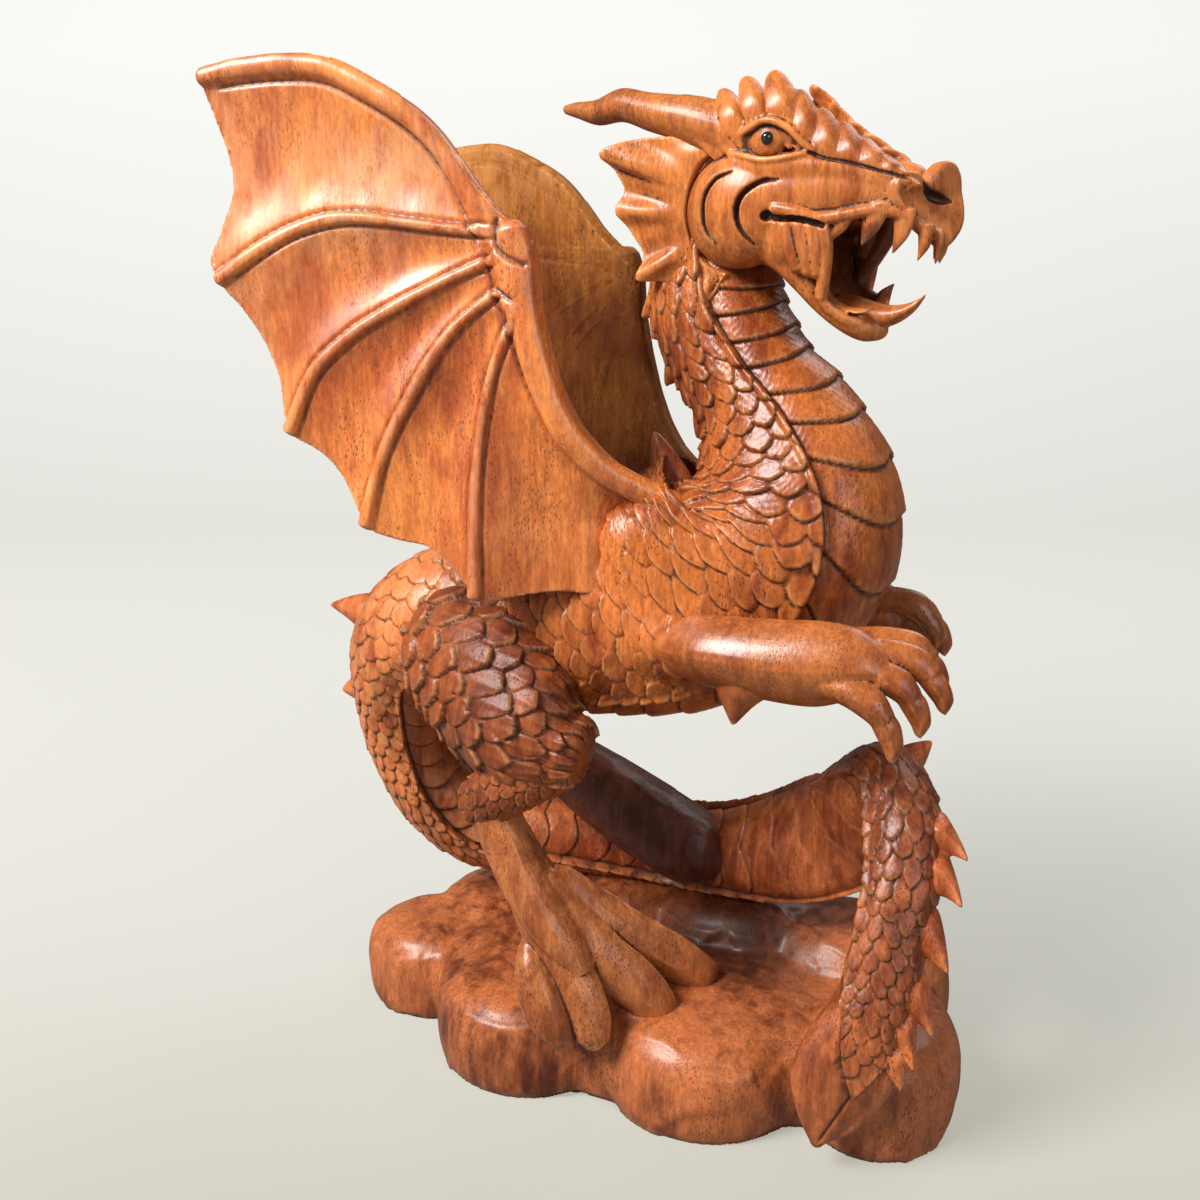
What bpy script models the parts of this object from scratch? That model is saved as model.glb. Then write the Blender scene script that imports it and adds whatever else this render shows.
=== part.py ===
# A dragon on a rock, carved by hand from one block of hardwood.
#
# The dragon stands on its hind legs on a low lobed rock, looks along +X and holds its two
# forelegs out in front. Its wings are raised, and its tail leaves the rump, runs down behind
# the legs, rises in a loop in front of the chest and ends in a leaf on the face of the rock.
#
# The lists below hold real sizes in millimetres, and MM turns them into metres. The right
# side of the dragon is at -Y. Every form is built closed, the forms overlap, and one remesh
# joins them into the single body that the carver left. The two pupils are beads of their own.

import math

import bmesh
import bpy
import numpy as np
from mathutils import Matrix, Vector

MM = 0.001

# Driving dimensions
HEIGHT = 420.0            # rock underside to the highest point of the wings
JOIN_VOXEL = 1.7          # grid of the remesh that joins the forms
SOFTEN_PASSES = 3         # smoothing of the seams between the joined forms
FLOOR_BAND = 2.0          # everything this close to the underside is pressed level
FACET_TARGET = 9400       # triangles left on the carving
BEAD_RADIUS = 2.2         # pupil bead
BEAD_GAP = 0.3            # clearance of the bead in its seat
BEAD_STANDS_PROUD = 1.3   # how far the bead's front stands out of the eyeball

# The head is carved turned a little towards its right shoulder and tipped that way
HEAD_PIVOT = (20.0, 0.0, 365.0)
HEAD_TURN = -17.0
HEAD_TIP = 6.0

# Colours of the oiled wood and of the beads
WOOD_COLOUR = (0.29, 0.105, 0.036, 1.0)
WOOD_ROUGHNESS = 0.38
BEAD_COLOUR = (0.008, 0.014, 0.010, 1.0)
BEAD_ROUGHNESS = 0.08

# One spine runs from the tip of the tail to the top of the neck. Each row is
# x, y, z, half depth towards the belly, half width across, and the belly's direction.
SPINE = [
    (87, -45, 13, 4, 4, -0.92, -0.3, 0.0),
    (90, -46, 27, 15, 6, -0.92, -0.3, 0.0),
    (93, -45, 43, 22, 8, -0.92, -0.3, 0.0),
    (97, -41, 58, 20, 10, -0.92, -0.2, 0.0),
    (102, -35, 71, 17, 13, -0.92, -0.1, -0.05),
    (105, -30, 84, 16, 14, -0.94, 0.0, -0.1),
    (107, -24, 101, 16, 15, -0.96, 0.05, -0.15),
    (109, -17, 118, 16, 16, -0.96, 0.1, -0.25),
    (107, -7, 134, 17, 17, -0.85, -0.1, -0.5),
    (100, 6, 144, 17, 18, -0.45, -0.65, -0.55),
    (91, 18, 132, 18, 21, -0.15, -0.9, -0.1),
    (80, 26, 115, 18, 26, 0.0, -0.93, 0.25),
    (54, 38, 97, 19, 25, 0.1, -0.9, 0.4),
    (20, 50, 84, 19, 21, 0.15, -0.87, 0.45),
    (-18, 60, 77, 19, 20, 0.15, -0.8, 0.6),
    (-62, 49, 80, 21, 21, 0.2, -0.65, 0.75),
    (-99, 31, 83, 19, 21, 0.5, -0.35, 0.8),
    (-118, 18, 104, 20, 21, 0.8, -0.15, 0.55),
    (-127, 11, 131, 21, 22, 0.97, -0.05, 0.2),
    (-128, 6, 157, 23, 24, 0.95, 0.0, -0.3),
    (-122, 2, 178, 27, 28, 0.75, 0.0, -0.66),
    (-106, 0, 192, 33, 32, 0.41, 0.0, -0.91),
    (-76, 0, 198, 42, 36, 0.25, 0.0, -0.97),
    (-35, 0, 202, 48, 38, 0.16, 0.0, -0.99),
    (1, 0, 209, 53, 39, 0.23, 0.0, -0.97),
    (25, 0, 219, 56, 40, 0.41, 0.0, -0.91),
    (45, 0, 233, 57, 41, 0.67, 0.0, -0.74),
    (57, 0, 250, 56, 40, 0.82, 0.0, -0.57),
    (59, 0, 271, 52, 36, 0.92, 0.0, -0.39),
    (51, 0, 293, 43, 30, 0.98, 0.0, -0.2),
    (38, 0, 313, 35, 26, 1.0, 0.0, -0.1),
    (29, 0, 331, 30, 24, 1.0, 0.0, 0.02),
    (26, 0, 350, 26, 22, 1.0, 0.0, 0.04),
    (26, 0, 364, 20, 19, 1.0, 0.0, 0.04),
]
BELLY_FLATNESS = 0.82     # the belly side is a little flatter than the back

# Spikes of the back ridge: place along SPINE in rows, length, lean towards the tail
RIDGE_SPIKES = [
    (3.6, 8, 0.9),
    (5.2, 9, 1.0),
    (6.8, 9, 1.0),
    (8.1, 9, 0.9),
    (9.2, 9, 0.6),
    (10.4, 9, 0.5),
    (11.6, 8, 0.5),
    (18.9, 15, 0.3),
    (20.1, 21, 0.7),
    (25.7, 24, 1.1),
    (29.6, 7, 0.7),
    (30.5, 7, 0.7),
    (31.4, 7, 0.7),
]
SPIKE_ROOT = 7.5          # half width of a ridge spike where it leaves the back

# A limb's rows are x, y, z, half depth, half width; its lean is the depth's direction
NEAR_THIGH = [(-82, -20, 193, 31, 24), (-63, -31, 183, 33, 25), (-47, -38, 172, 31, 23),
              (-33, -42, 164, 25, 20), (-22, -43, 160, 16, 15)]
NEAR_SHIN = [(-25, -43, 158, 15, 14), (-40, -43, 146, 14, 13), (-54, -42, 135, 12, 12),
             (-62, -41, 131, 9, 10)]
NEAR_METATARSUS = [(-57, -41, 134, 11, 10), (-51, -41, 119, 11, 10), (-42, -42, 103, 13, 12),
                   (-32, -43, 88, 17, 13), (-25, -42, 78, 17, 13)]
NEAR_TOES = [
    [(-34, -46, 86, 9, 8), (-22, -48, 66, 10, 9), (-10, -50, 48, 9, 8), (-2, -51, 32, 5, 4)],
    [(-27, -43, 88, 9, 8), (-8, -38, 67, 10, 9), (8, -32, 51, 9, 8), (18, -27, 37, 5, 4)],
    [(-21, -37, 88, 9, 8), (0, -23, 70, 10, 9), (17, -10, 55, 9, 8), (29, -2, 43, 5, 4)],
]
NEAR_HEEL_TOE = [(-38, -44, 78, 7, 7), (-33, -47, 58, 11, 11), (-27, -49, 42, 12, 11),
                 (-21, -50, 28, 6, 6)]
FAR_THIGH = [(-92, 20, 191, 29, 24), (-85, 31, 178, 30, 23), (-79, 38, 163, 27, 20),
             (-74, 41, 149, 21, 17)]
FAR_SHIN = [(-74, 41, 148, 17, 16), (-89, 40, 138, 19, 15), (-98, 38, 124, 14, 12)]
FAR_FOOT = [(-94, 40, 123, 13, 11), (-72, 42, 124, 13, 12), (-52, 42, 114, 17, 14),
            (-29, 42, 102, 19, 16), (-6, 42, 91, 19, 17), (10, 42, 84, 17, 17),
            (17, 42, 81, 11, 13)]
LEFT_HAND_REACH = 0.93    # the left hand is held a little further back
FORELEG = [(-4, 34, 209, 10, 9), (18, 40, 209, 9, 10), (44, 45, 207, 12, 12),
           (66, 46, 207, 14, 12), (86, 46, 208, 15, 13), (97, 46, 207, 13, 13)]
ELBOW_SPIKE = [(47, 45, 200, 8, 7), (51, 46, 190, 5, 5), (51, 46, 181, 1, 1)]
FINGERS = [
    [(84, 50, 205, 7, 6), (99, 53, 200, 7, 5), (107, 54, 191, 5, 5), (110, 54, 178, 1, 1)],
    [(86, 47, 210, 7, 6), (105, 48, 207, 7, 5), (116, 48, 199, 5, 5), (119, 47, 185, 1, 1)],
    [(86, 43, 213, 6, 6), (108, 41, 212, 6, 5), (121, 40, 206, 5, 5), (126, 39, 194, 1, 1)],
    [(86, 39, 213, 6, 6), (106, 35, 214, 6, 5), (119, 33, 209, 4, 4), (123, 33, 198, 1, 1)],
]
SHOULDER = ((14, 27, 243), (27, 17, 25))

# Right wing, seen square from its own side: x, z. The wing leans out of the x, z plane.
WING_ROOT_Y = 53.0        # distance of the wrist from the middle plane
WING_SPLAY = 0.2          # how far the wing opens outwards for each length it runs back
WRIST = (-28, 355)
WING_TOP = [(-151, 416), (-134, 418), (-112, 419), (-98, 416), (-84, 409), (-70, 400),
            (-59, 388), (-50, 374), (-40, 363), (-30, 353)]
FOREARM = [(-30, 353), (-28, 335), (-25, 318), (-20, 302), (-13, 288), (-3, 275), (9, 265),
           (22, 254)]
WING_TIP_EDGE = [(-151, 414), (-148, 402), (-144, 388), (-143, 375), (-148, 362),
                 (-153, 350), (-149, 341)]
SCALLOPS = [
    [(-149, 341), (-141, 331), (-134, 319), (-129, 305), (-127, 293), (-124, 284)],
    [(-124, 284), (-115, 279), (-107, 271), (-101, 260), (-95, 248)],
    [(-95, 248), (-83, 244), (-71, 241), (-61, 233), (-52, 221)],
    [(-52, 221), (-40, 222), (-28, 224), (-15, 223), (-4, 221)],
]
RIBS = [
    [(-36, 357), (-63, 360), (-94, 364), (-114, 361), (-130, 354), (-149, 343)],
    [(-36, 350), (-58, 342), (-87, 328), (-102, 318), (-114, 306), (-124, 286)],
    [(-35, 341), (-59, 322), (-76, 297), (-87, 276), (-95, 250)],
    [(-32, 332), (-43, 308), (-49, 277), (-51, 250), (-52, 223)],
]
WING_JOINT = [(-20, 302), (-8, 272), (6, 248), (2, 236), (-4, 221)]
WING_THICKNESS = 5.5
LEFT_WING_RISE = 0.86     # the left wing rises a little less above its wrist
WING_HOLLOW = 4.0         # how deep a panel dips between its ribs
RIB_RADIUS = 3.4
TOP_BONE_RADIUS = 5.5
FOREARM_RADIUS = 7.0
KNOB_RADIUS = 10.0

# Head, in its own frame: x forward from the pivot, z up; half depth and half width
SKULL = [(3, 0, 4, 14, 14), (14, 0, 4, 20, 21), (28, 0, 6, 22, 25), (42, 0, 9, 18, 23),
         (56, 0, 7, 12, 19), (70, 0, 4, 10, 16), (85, 0, 2, 8, 13), (93, 0, -1, 9, 11),
         (96, 0, -4, 8, 8)]
LOWER_JAW = [(18, 0, -6, 11, 21), (36, 0, -9, 11, 21), (50, 0, -16, 10, 19),
             (60, 0, -27, 8, 16), (68, 0, -34, 7, 13), (74, 0, -38, 6, 9), (77, 0, -39, 4, 6)]
CHEEK = ((27, 17, 2), (22, 11, 20))
CHEEK_SKIN = ((57, 2, -11), (18, 16, 14))
MUZZLE_BOSSES = [((87, -8, 4), (7, 7, 8)), ((91, 8, 6), (7, 7, 9))]
HORN = [(30, 15, 30, 9, 8), (12, 18, 35, 8, 8), (-4, 19, 37, 7, 7), (-18, 19, 41, 7, 7),
        (-30, 19, 43, 5, 6), (-40, 19, 42, 4, 4), (-51, 19, 45, 2, 2)]
CREST_TIPS = [(10, 39), (23, 43), (37, 45), (47, 40), (57, 33), (67, 26), (76, 18)]
CREST_ROOT_RISE = [(12, 28), (24, 27), (36, 26), (47, 22), (58, 17), (69, 13), (79, 10)]
CREST_HALF_GAP = 12.0     # the two crests stand this far from the middle of the head
FRILL = [(20, 22), (7, 28), (-4, 29), (-16, 29), (-24, 25), (-18, 18), (-14, 11), (-18, 3),
         (-12, -3), (-8, -10), (-11, -20), (-3, -18), (5, -21), (13, -29), (20, -18), (26, 0)]
FRILL_Y = 17.0
FRILL_FLARE = 0.3
FRILL_THICKNESS = 5.0
UPPER_TEETH = [(72, 14, -3, -12), (82, 13, -3, -15), (90, 8, -6, -19), (95, 4, -9, -20)]
LOWER_TEETH = [(64, 13, -24, -17), (76, 9, -34, -25)]
TOOTH_RADIUS = 2.7
TONGUE = [(60, 0, -29, 6, 8), (72, -2, -34, 5, 6), (82, -4, -33, 4, 4), (90, -6, -28, 1, 1)]
EYEBALL = ((40, 18, 23), (7, 5, 6))
PUPIL_AT = (42, 23, 24)
GAZE = (0.2, 1.0, 0.1)    # the way a pupil looks out of its eyeball

# Rock: x, y, half length, half depth, top height of each lobe
ROCK_LOBES = [
    (-118, 10, 35, 31, 42),
    (-52, -14, 45, 43, 43),
    (30, -10, 46, 44, 43),
    (102, 6, 34, 42, 47),
    (82, 54, 44, 36, 60),
    (24, 58, 50, 36, 64),
    (-36, 58, 50, 34, 62),
    (-90, 42, 40, 36, 50),
]
ROCK_CORE = (-4, 17, 122, 60, 46)
LOBE_PROFILE = [(0.0, 0.92), (0.12, 0.97), (0.38, 1.0), (0.62, 0.97), (0.82, 0.86),
                (0.94, 0.66), (1.0, 0.36)]
CORE_PROFILE = [(0.0, 0.96), (0.5, 1.0), (0.8, 0.97), (0.94, 0.9), (1.0, 0.78)]


def catmull(rows, steps):
    """Smooth curve through rows of any width, with steps points for each span."""
    rows = np.asarray(rows, float)
    padded = np.vstack([2 * rows[0] - rows[1], rows, 2 * rows[-1] - rows[-2]])
    out = []
    for i in range(len(rows) - 1):
        a, b, c, d = padded[i:i + 4]
        for k in range(steps):
            t = k / steps
            out.append(0.5 * (2 * b + (c - a) * t + (2 * a - 5 * b + 4 * c - d) * t * t
                              + (3 * b - a - 3 * c + d) * t ** 3))
    out.append(rows[-1])
    return np.array(out)


def unit(vectors):
    vectors = np.asarray(vectors, float)
    return vectors / np.linalg.norm(vectors, axis=-1, keepdims=True)


def add_object(name, mesh):
    obj = bpy.data.objects.new(name, mesh)
    bpy.data.collections["dragon_statue"].objects.link(obj)
    return obj


def mesh_object(name, verts, faces):
    """Object from vertices in millimetres, with its normals turned outwards."""
    mesh = bpy.data.meshes.new(name)
    mesh.from_pydata([tuple(v * MM for v in p) for p in verts], [], faces)
    shell = bmesh.new()
    shell.from_mesh(mesh)
    bmesh.ops.recalc_face_normals(shell, faces=shell.faces)
    shell.to_mesh(mesh)
    shell.free()
    return add_object(name, mesh)


def loft(name, rows, around=20, steps=5, lean=(0.0, 0.0, -1.0), flatness=1.0):
    """Closed round form through elliptical sections, with rounded ends."""
    rows = [tuple(r) + (() if len(r) == 8 else tuple(lean)) for r in rows]
    line = catmull(rows, steps)
    centre, deep, wide = line[:, :3], line[:, 3], line[:, 4]
    belly = unit(line[:, 5:8])
    tangent = unit(np.gradient(centre, axis=0))
    side = unit(np.cross(tangent, belly))
    angles = np.linspace(0, 2 * math.pi, around, endpoint=False)
    verts = []

    def ring(c, b, s, d, w):
        for a in angles:
            push = d * math.cos(a) * (flatness if math.cos(a) > 0 else 1.0)
            verts.append(c + b * push + s * (w * math.sin(a)))

    first, last = 0, len(centre) - 1
    for end, sign in ((first, -1), (last, 1)):
        size = min(deep[end], wide[end])
        tip = centre[end] + tangent[end] * (sign * 0.75 * size)
        shoulder = centre[end] + tangent[end] * (sign * 0.45 * size)
        if end == first:
            verts.append(tip)
            ring(shoulder, belly[end], side[end], deep[end] * 0.72, wide[end] * 0.72)
            for i in range(len(centre)):
                ring(centre[i], belly[i], side[i], deep[i], wide[i])
        else:
            ring(shoulder, belly[end], side[end], deep[end] * 0.72, wide[end] * 0.72)
            verts.append(tip)
    rings = len(centre) + 2
    faces = [(0, 1 + (j + 1) % around, 1 + j) for j in range(around)]
    for i in range(rings - 1):
        base = 1 + i * around
        for j in range(around):
            k = (j + 1) % around
            faces.append((base + j, base + k, base + around + k, base + around + j))
    base = 1 + (rings - 1) * around
    faces += [(len(verts) - 1, base + j, base + (j + 1) % around) for j in range(around)]
    return mesh_object(name, verts, faces)


def ball(name, centre, radii):
    """Ellipsoid for a muscle or a boss."""
    shell = bmesh.new()
    bmesh.ops.create_icosphere(shell, subdivisions=3, radius=1.0)
    bmesh.ops.scale(shell, verts=shell.verts, vec=Vector(radii) * MM)
    bmesh.ops.translate(shell, verts=shell.verts, vec=Vector(centre) * MM)
    mesh = bpy.data.meshes.new(name)
    shell.to_mesh(mesh)
    shell.free()
    return add_object(name, mesh)


def flipped(rows, side):
    """The same rows on the other side of the middle plane when side is -1."""
    return [(r[0], r[1] * side) + tuple(r[2:]) for r in rows]


def spine_at(place):
    """Centre, half depth, belly direction and tangent of the spine at a row number."""
    steps = 8
    line = catmull(SPINE, steps)
    i = int(round(place * steps))
    tangent = unit(line[i + 1, :3] - line[i - 1, :3])
    return line[i, :3], line[i, 3], unit(line[i, 5:8]), tangent


def ridge_spike(number, place, length, lean):
    """Hooked spike on the ridge of the back, its tip swept towards the tail."""
    centre, deep, belly, tangent = spine_at(place)
    root = centre - belly * (deep - 3)
    middle = centre - belly * (deep + 0.45 * length) - tangent * (0.25 * lean * length)
    tip = centre - belly * (deep + length) - tangent * (lean * length)
    rows = [(*root, SPIKE_ROOT, SPIKE_ROOT * 0.8), (*middle, SPIKE_ROOT * 0.6, SPIKE_ROOT * 0.5),
            (*tip, 1, 1)]
    return loft("ridge_spike_%d" % number, rows, around=10, steps=3, lean=tuple(tangent))


def wing_y(x, z):
    """Distance of the wing sheet from the middle plane at a point of its side view."""
    outward = WING_ROOT_Y + WING_SPLAY * (WRIST[0] - x)
    near_body = min(max((x + 30) / 40, 0.0), 1.0) * min(max((300 - z) / 60, 0.0), 1.0)
    return outward - 10.0 * near_body


def panel(name, upper, lower, edge, side, across=8, along=10):
    """One curved sheet of wing skin between two ribs, hollow in its middle."""
    def resample(points, count):
        fine = catmull(points, 12)
        length = np.concatenate([[0], np.cumsum(np.linalg.norm(np.diff(fine, axis=0), axis=1))])
        at = np.linspace(0, length[-1], count)
        return np.stack([np.interp(at, length, fine[:, k]) for k in range(2)], axis=1)

    top, low = resample(upper, along + 1), resample(lower, along + 1)
    rim = resample(edge, across + 1)
    faces = []
    sheets = {1: [], -1: []}
    for i in range(along + 1):
        u = i / along
        for j in range(across + 1):
            v = j / across
            flat_rim = top[-1] * (1 - v) + low[-1] * v
            p = top[i] * (1 - v) + low[i] * v + (rim[j] - flat_rim) * u ** 2
            dip = WING_HOLLOW * math.sin(math.pi * v) * min(1.0, 2.5 * u) * (1 - 0.4 * u)
            y = wing_y(p[0], p[1]) - dip
            for face in sheets:
                sheets[face].append((p[0], side * (y + face * WING_THICKNESS / 2), p[1]))
    count = (along + 1) * (across + 1)
    verts = sheets[1] + sheets[-1]
    row = across + 1
    for i in range(along):
        for j in range(across):
            a = i * row + j
            faces.append((a, a + 1, a + row + 1, a + row))
            faces.append(tuple(count + k for k in (a + row, a + row + 1, a + 1, a)))
    border = [j for j in range(row)] + [i * row + across for i in range(1, along + 1)]
    border += [along * row + j for j in range(across - 1, -1, -1)]
    border += [i * row for i in range(along - 1, 0, -1)]
    for k, a in enumerate(border):
        b = border[(k + 1) % len(border)]
        faces.append((a, count + a, count + b, b))
    return mesh_object(name, verts, faces)


def wing_bone(name, points, side, radii, lift=0.0):
    """Round bone or rib that follows the wing sheet."""
    rows = []
    for k, (x, z) in enumerate(points):
        r = radii[0] + (radii[1] - radii[0]) * k / (len(points) - 1)
        rows.append((x, side * (wing_y(x, z) + lift), z, r, r))
    return loft(name, rows, around=12, steps=4, lean=(0.0, float(side), 0.02))


def lowered(points, rise):
    """Points of the wing, with those above the wrist brought down towards it."""
    return [(x, WRIST[1] + (z - WRIST[1]) * (rise if z > WRIST[1] else 1.0)) for x, z in points]


def wing(side, tag, rise):
    """A raised wing: five sheets, four ribs, the top bone, the wrist and the forearm."""
    ribs = [lowered(rib, rise) for rib in RIBS]
    top = lowered(WING_TOP, rise)
    uppers = [top[::-1]] + ribs
    lowers = ribs + [WING_JOINT]
    edges = [lowered(edge, rise) for edge in [WING_TIP_EDGE] + SCALLOPS]
    forms = []
    for k in range(len(edges)):
        forms.append(panel("%s_panel_%d" % (tag, k), uppers[k], lowers[k], edges[k], side))
    for k, rib in enumerate(ribs):
        forms.append(wing_bone("%s_rib_%d" % (tag, k), rib, side,
                               (RIB_RADIUS * 0.8, RIB_RADIUS), lift=1.8))
    forms.append(wing_bone(tag + "_top_bone", top, side,
                           (TOP_BONE_RADIUS * 0.55, TOP_BONE_RADIUS * 1.1), lift=0.5))
    forms.append(wing_bone(tag + "_forearm", FOREARM, side,
                           (FOREARM_RADIUS, FOREARM_RADIUS * 1.25), lift=0.0))
    x, z = WRIST
    forms.append(ball(tag + "_wrist", (x - 4, side * (wing_y(x, z) + 1), z - 1),
                      (KNOB_RADIUS, KNOB_RADIUS * 0.85, KNOB_RADIUS)))
    return forms


def head_place():
    """Turn and place of the carved head."""
    turn = Matrix.Rotation(math.radians(HEAD_TURN), 4, "Z")
    tip = Matrix.Rotation(math.radians(HEAD_TIP), 4, "X")
    return Matrix.Translation(Vector(HEAD_PIVOT) * MM) @ turn @ tip


def frill(side, tag):
    """Fan of skin behind the cheek, cut to points."""
    inner, outer = [], []
    for x, z in FRILL:
        y = FRILL_Y + FRILL_FLARE * (20 - x)
        inner.append((x, side * (y - FRILL_THICKNESS / 2), z))
        outer.append((x, side * (y + FRILL_THICKNESS / 2), z))
    n = len(FRILL)
    faces = [tuple(range(n)), tuple(range(2 * n - 1, n - 1, -1))]
    faces += [(k, n + k, n + (k + 1) % n, (k + 1) % n) for k in range(n)]
    return mesh_object(tag + "_frill", inner + outer, faces)


def head():
    """Skull, jaws, horns, crests, frills, teeth and tongue, then turned as one."""
    forms = [loft("skull", SKULL), loft("lower_jaw", LOWER_JAW, lean=(-0.5, 0.0, -0.86))]
    forms.append(ball("cheek_skin", *CHEEK_SKIN))
    forms.append(loft("tongue", TONGUE, around=12, steps=4, lean=(-0.3, 0.0, -0.95)))
    for k, (centre, radii) in enumerate(MUZZLE_BOSSES):
        forms.append(ball("muzzle_boss_%d" % k, centre, radii))
    for side, tag in ((-1, "right"), (1, "left")):
        centre, radii = CHEEK
        forms.append(ball(tag + "_cheek", (centre[0], side * centre[1], centre[2]), radii))
        centre, radii = EYEBALL
        forms.append(ball(tag + "_eyeball", (centre[0], side * centre[1], centre[2]), radii))
        forms.append(loft(tag + "_horn", flipped(HORN, side), around=14, steps=4))
        forms.append(frill(side, tag))
        for k, (tip, root) in enumerate(zip(CREST_TIPS, CREST_ROOT_RISE)):
            y = side * CREST_HALF_GAP
            rows = [(root[0] + 2, y * 1.15, root[1] - 4, 7, 4),
                    ((root[0] + tip[0]) / 2 + 1, y * 1.05, (root[1] + tip[1]) / 2, 6, 3.5),
                    (tip[0], y, tip[1] - 1, 2, 1.5)]
            forms.append(loft("%s_crest_%d" % (tag, k), rows, around=10, steps=3,
                              lean=(1.0, 0.0, 0.0)))
        for k, (x, y, root, tip) in enumerate(UPPER_TEETH + LOWER_TEETH):
            rows = [(x, side * y, root, TOOTH_RADIUS, TOOTH_RADIUS),
                    (x + 0.5, side * y, (root + tip) / 2, TOOTH_RADIUS * 0.8, TOOTH_RADIUS * 0.8),
                    (x + 1, side * y, tip, 0.8, 0.8)]
            forms.append(loft("%s_tooth_%d" % (tag, k), rows, around=8, steps=3,
                              lean=(1.0, 0.0, 0.0)))
    place = head_place()
    for form in forms:
        form.data.transform(place)
    return forms


def hind_legs():
    """The right leg stands in front; the left foot lies behind it, against the tail."""
    down_back = (-0.5, 0.0, -0.85)
    down_front = (0.5, 0.0, -0.85)
    forms = [loft("right_thigh", NEAR_THIGH, lean=down_back),
             loft("right_shin", NEAR_SHIN, lean=down_front),
             loft("right_metatarsus", NEAR_METATARSUS, lean=(-0.86, 0.0, -0.5)),
             loft("right_heel_toe", NEAR_HEEL_TOE, lean=(-0.9, 0.0, -0.3)),
             loft("left_thigh", FAR_THIGH, lean=down_back),
             loft("left_shin", FAR_SHIN, lean=down_front),
             loft("left_foot", FAR_FOOT, lean=(-0.45, 0.0, -0.9))]
    for k, toe in enumerate(NEAR_TOES):
        forms.append(loft("right_toe_%d" % k, toe, around=14, lean=(-0.8, 0.0, -0.6)))
    return forms


def forelegs():
    """Two forelegs held level, each with an elbow spike and four clawed fingers."""
    forms = []
    for side, tag in ((-1, "right"), (1, "left")):
        reach = LEFT_HAND_REACH if side > 0 else 1.0
        foreleg = flipped([(r[0] * reach, *r[1:]) for r in FORELEG], side)
        forms.append(loft(tag + "_foreleg", foreleg))
        forms.append(loft(tag + "_elbow_spike", flipped(ELBOW_SPIKE, side), around=10,
                          lean=(1.0, 0.0, 0.0)))
        for k, finger in enumerate(FINGERS):
            rows = flipped([(r[0] * reach, *r[1:]) for r in finger], side)
            forms.append(loft("%s_finger_%d" % (tag, k), rows, around=12,
                              lean=(-0.6, 0.0, -0.8)))
        centre, radii = SHOULDER
        forms.append(ball(tag + "_shoulder", (centre[0], side * centre[1], centre[2]), radii))
    return forms


def lobe(name, x, y, half_length, half_depth, top, profile=LOBE_PROFILE, around=28):
    """Rounded boulder with a flat underside and steep, slightly bulging walls."""
    verts = []
    for rise, reach in profile:
        for k in range(around):
            a = 2 * math.pi * k / around
            verts.append((x + half_length * reach * math.cos(a),
                          y + half_depth * reach * math.sin(a), top * rise))
    faces = [tuple(range(around - 1, -1, -1))]
    for i in range(len(profile) - 1):
        for j in range(around):
            k = (j + 1) % around
            faces.append((i * around + j, i * around + k, (i + 1) * around + k,
                          (i + 1) * around + j))
    last = (len(profile) - 1) * around
    faces.append(tuple(last + j for j in range(around)))
    return mesh_object(name, verts, faces)


def rock():
    forms = [lobe("rock_core", *ROCK_CORE, profile=CORE_PROFILE)]
    for k, row in enumerate(ROCK_LOBES):
        forms.append(lobe("rock_lobe_%d" % k, *row))
    return forms


def apply_modifiers(obj):
    """Replace the object's mesh by what its modifiers make of it."""
    graph = bpy.context.evaluated_depsgraph_get()
    mesh = bpy.data.meshes.new_from_object(obj.evaluated_get(graph))
    obj.modifiers.clear()
    old = obj.data
    obj.data = mesh
    bpy.data.meshes.remove(old)


def join(name, forms):
    """Put the forms' meshes into one object."""
    whole = bmesh.new()
    for form in forms:
        whole.from_mesh(form.data)
    mesh = bpy.data.meshes.new(name)
    whole.to_mesh(mesh)
    whole.free()
    for form in forms:
        old = form.data
        bpy.data.objects.remove(form, do_unlink=True)
        bpy.data.meshes.remove(old)
    return add_object(name, mesh)


def carve_to_one_body(obj):
    """Join the overlapping forms, soften the seams, and bring it down to facets."""
    remesh = obj.modifiers.new("join", "REMESH")
    remesh.mode = "VOXEL"
    remesh.voxel_size = JOIN_VOXEL * MM
    soften = obj.modifiers.new("soften", "SMOOTH")
    soften.factor = 0.5
    soften.iterations = SOFTEN_PASSES
    apply_modifiers(obj)
    triangles = sum(len(p.vertices) - 2 for p in obj.data.polygons)
    facet = obj.modifiers.new("facet", "DECIMATE")
    facet.ratio = FACET_TARGET / triangles
    facet.use_collapse_triangulate = True
    apply_modifiers(obj)


def keep_largest(obj):
    """Remove loose crumbs and closed hollows, so that one closed shell is left."""
    shell = bmesh.new()
    shell.from_mesh(obj.data)
    shell.faces.ensure_lookup_table()
    seen = set()
    groups = []
    for face in shell.faces:
        if face.index in seen:
            continue
        stack, group = [face], []
        seen.add(face.index)
        while stack:
            current = stack.pop()
            group.append(current)
            for edge in current.edges:
                for other in edge.link_faces:
                    if other.index not in seen:
                        seen.add(other.index)
                        stack.append(other)
        groups.append(group)
    groups.sort(key=len)
    crumbs = [face for group in groups[:-1] for face in group]
    bmesh.ops.delete(shell, geom=crumbs, context="FACES")
    shell.to_mesh(obj.data)
    shell.free()


def seat_flat(obj):
    """Press the underside to one level plane at the floor."""
    low = min(v.co.z for v in obj.data.vertices)
    for v in obj.data.vertices:
        if v.co.z < low + FLOOR_BAND * MM:
            v.co.z = low


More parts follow.
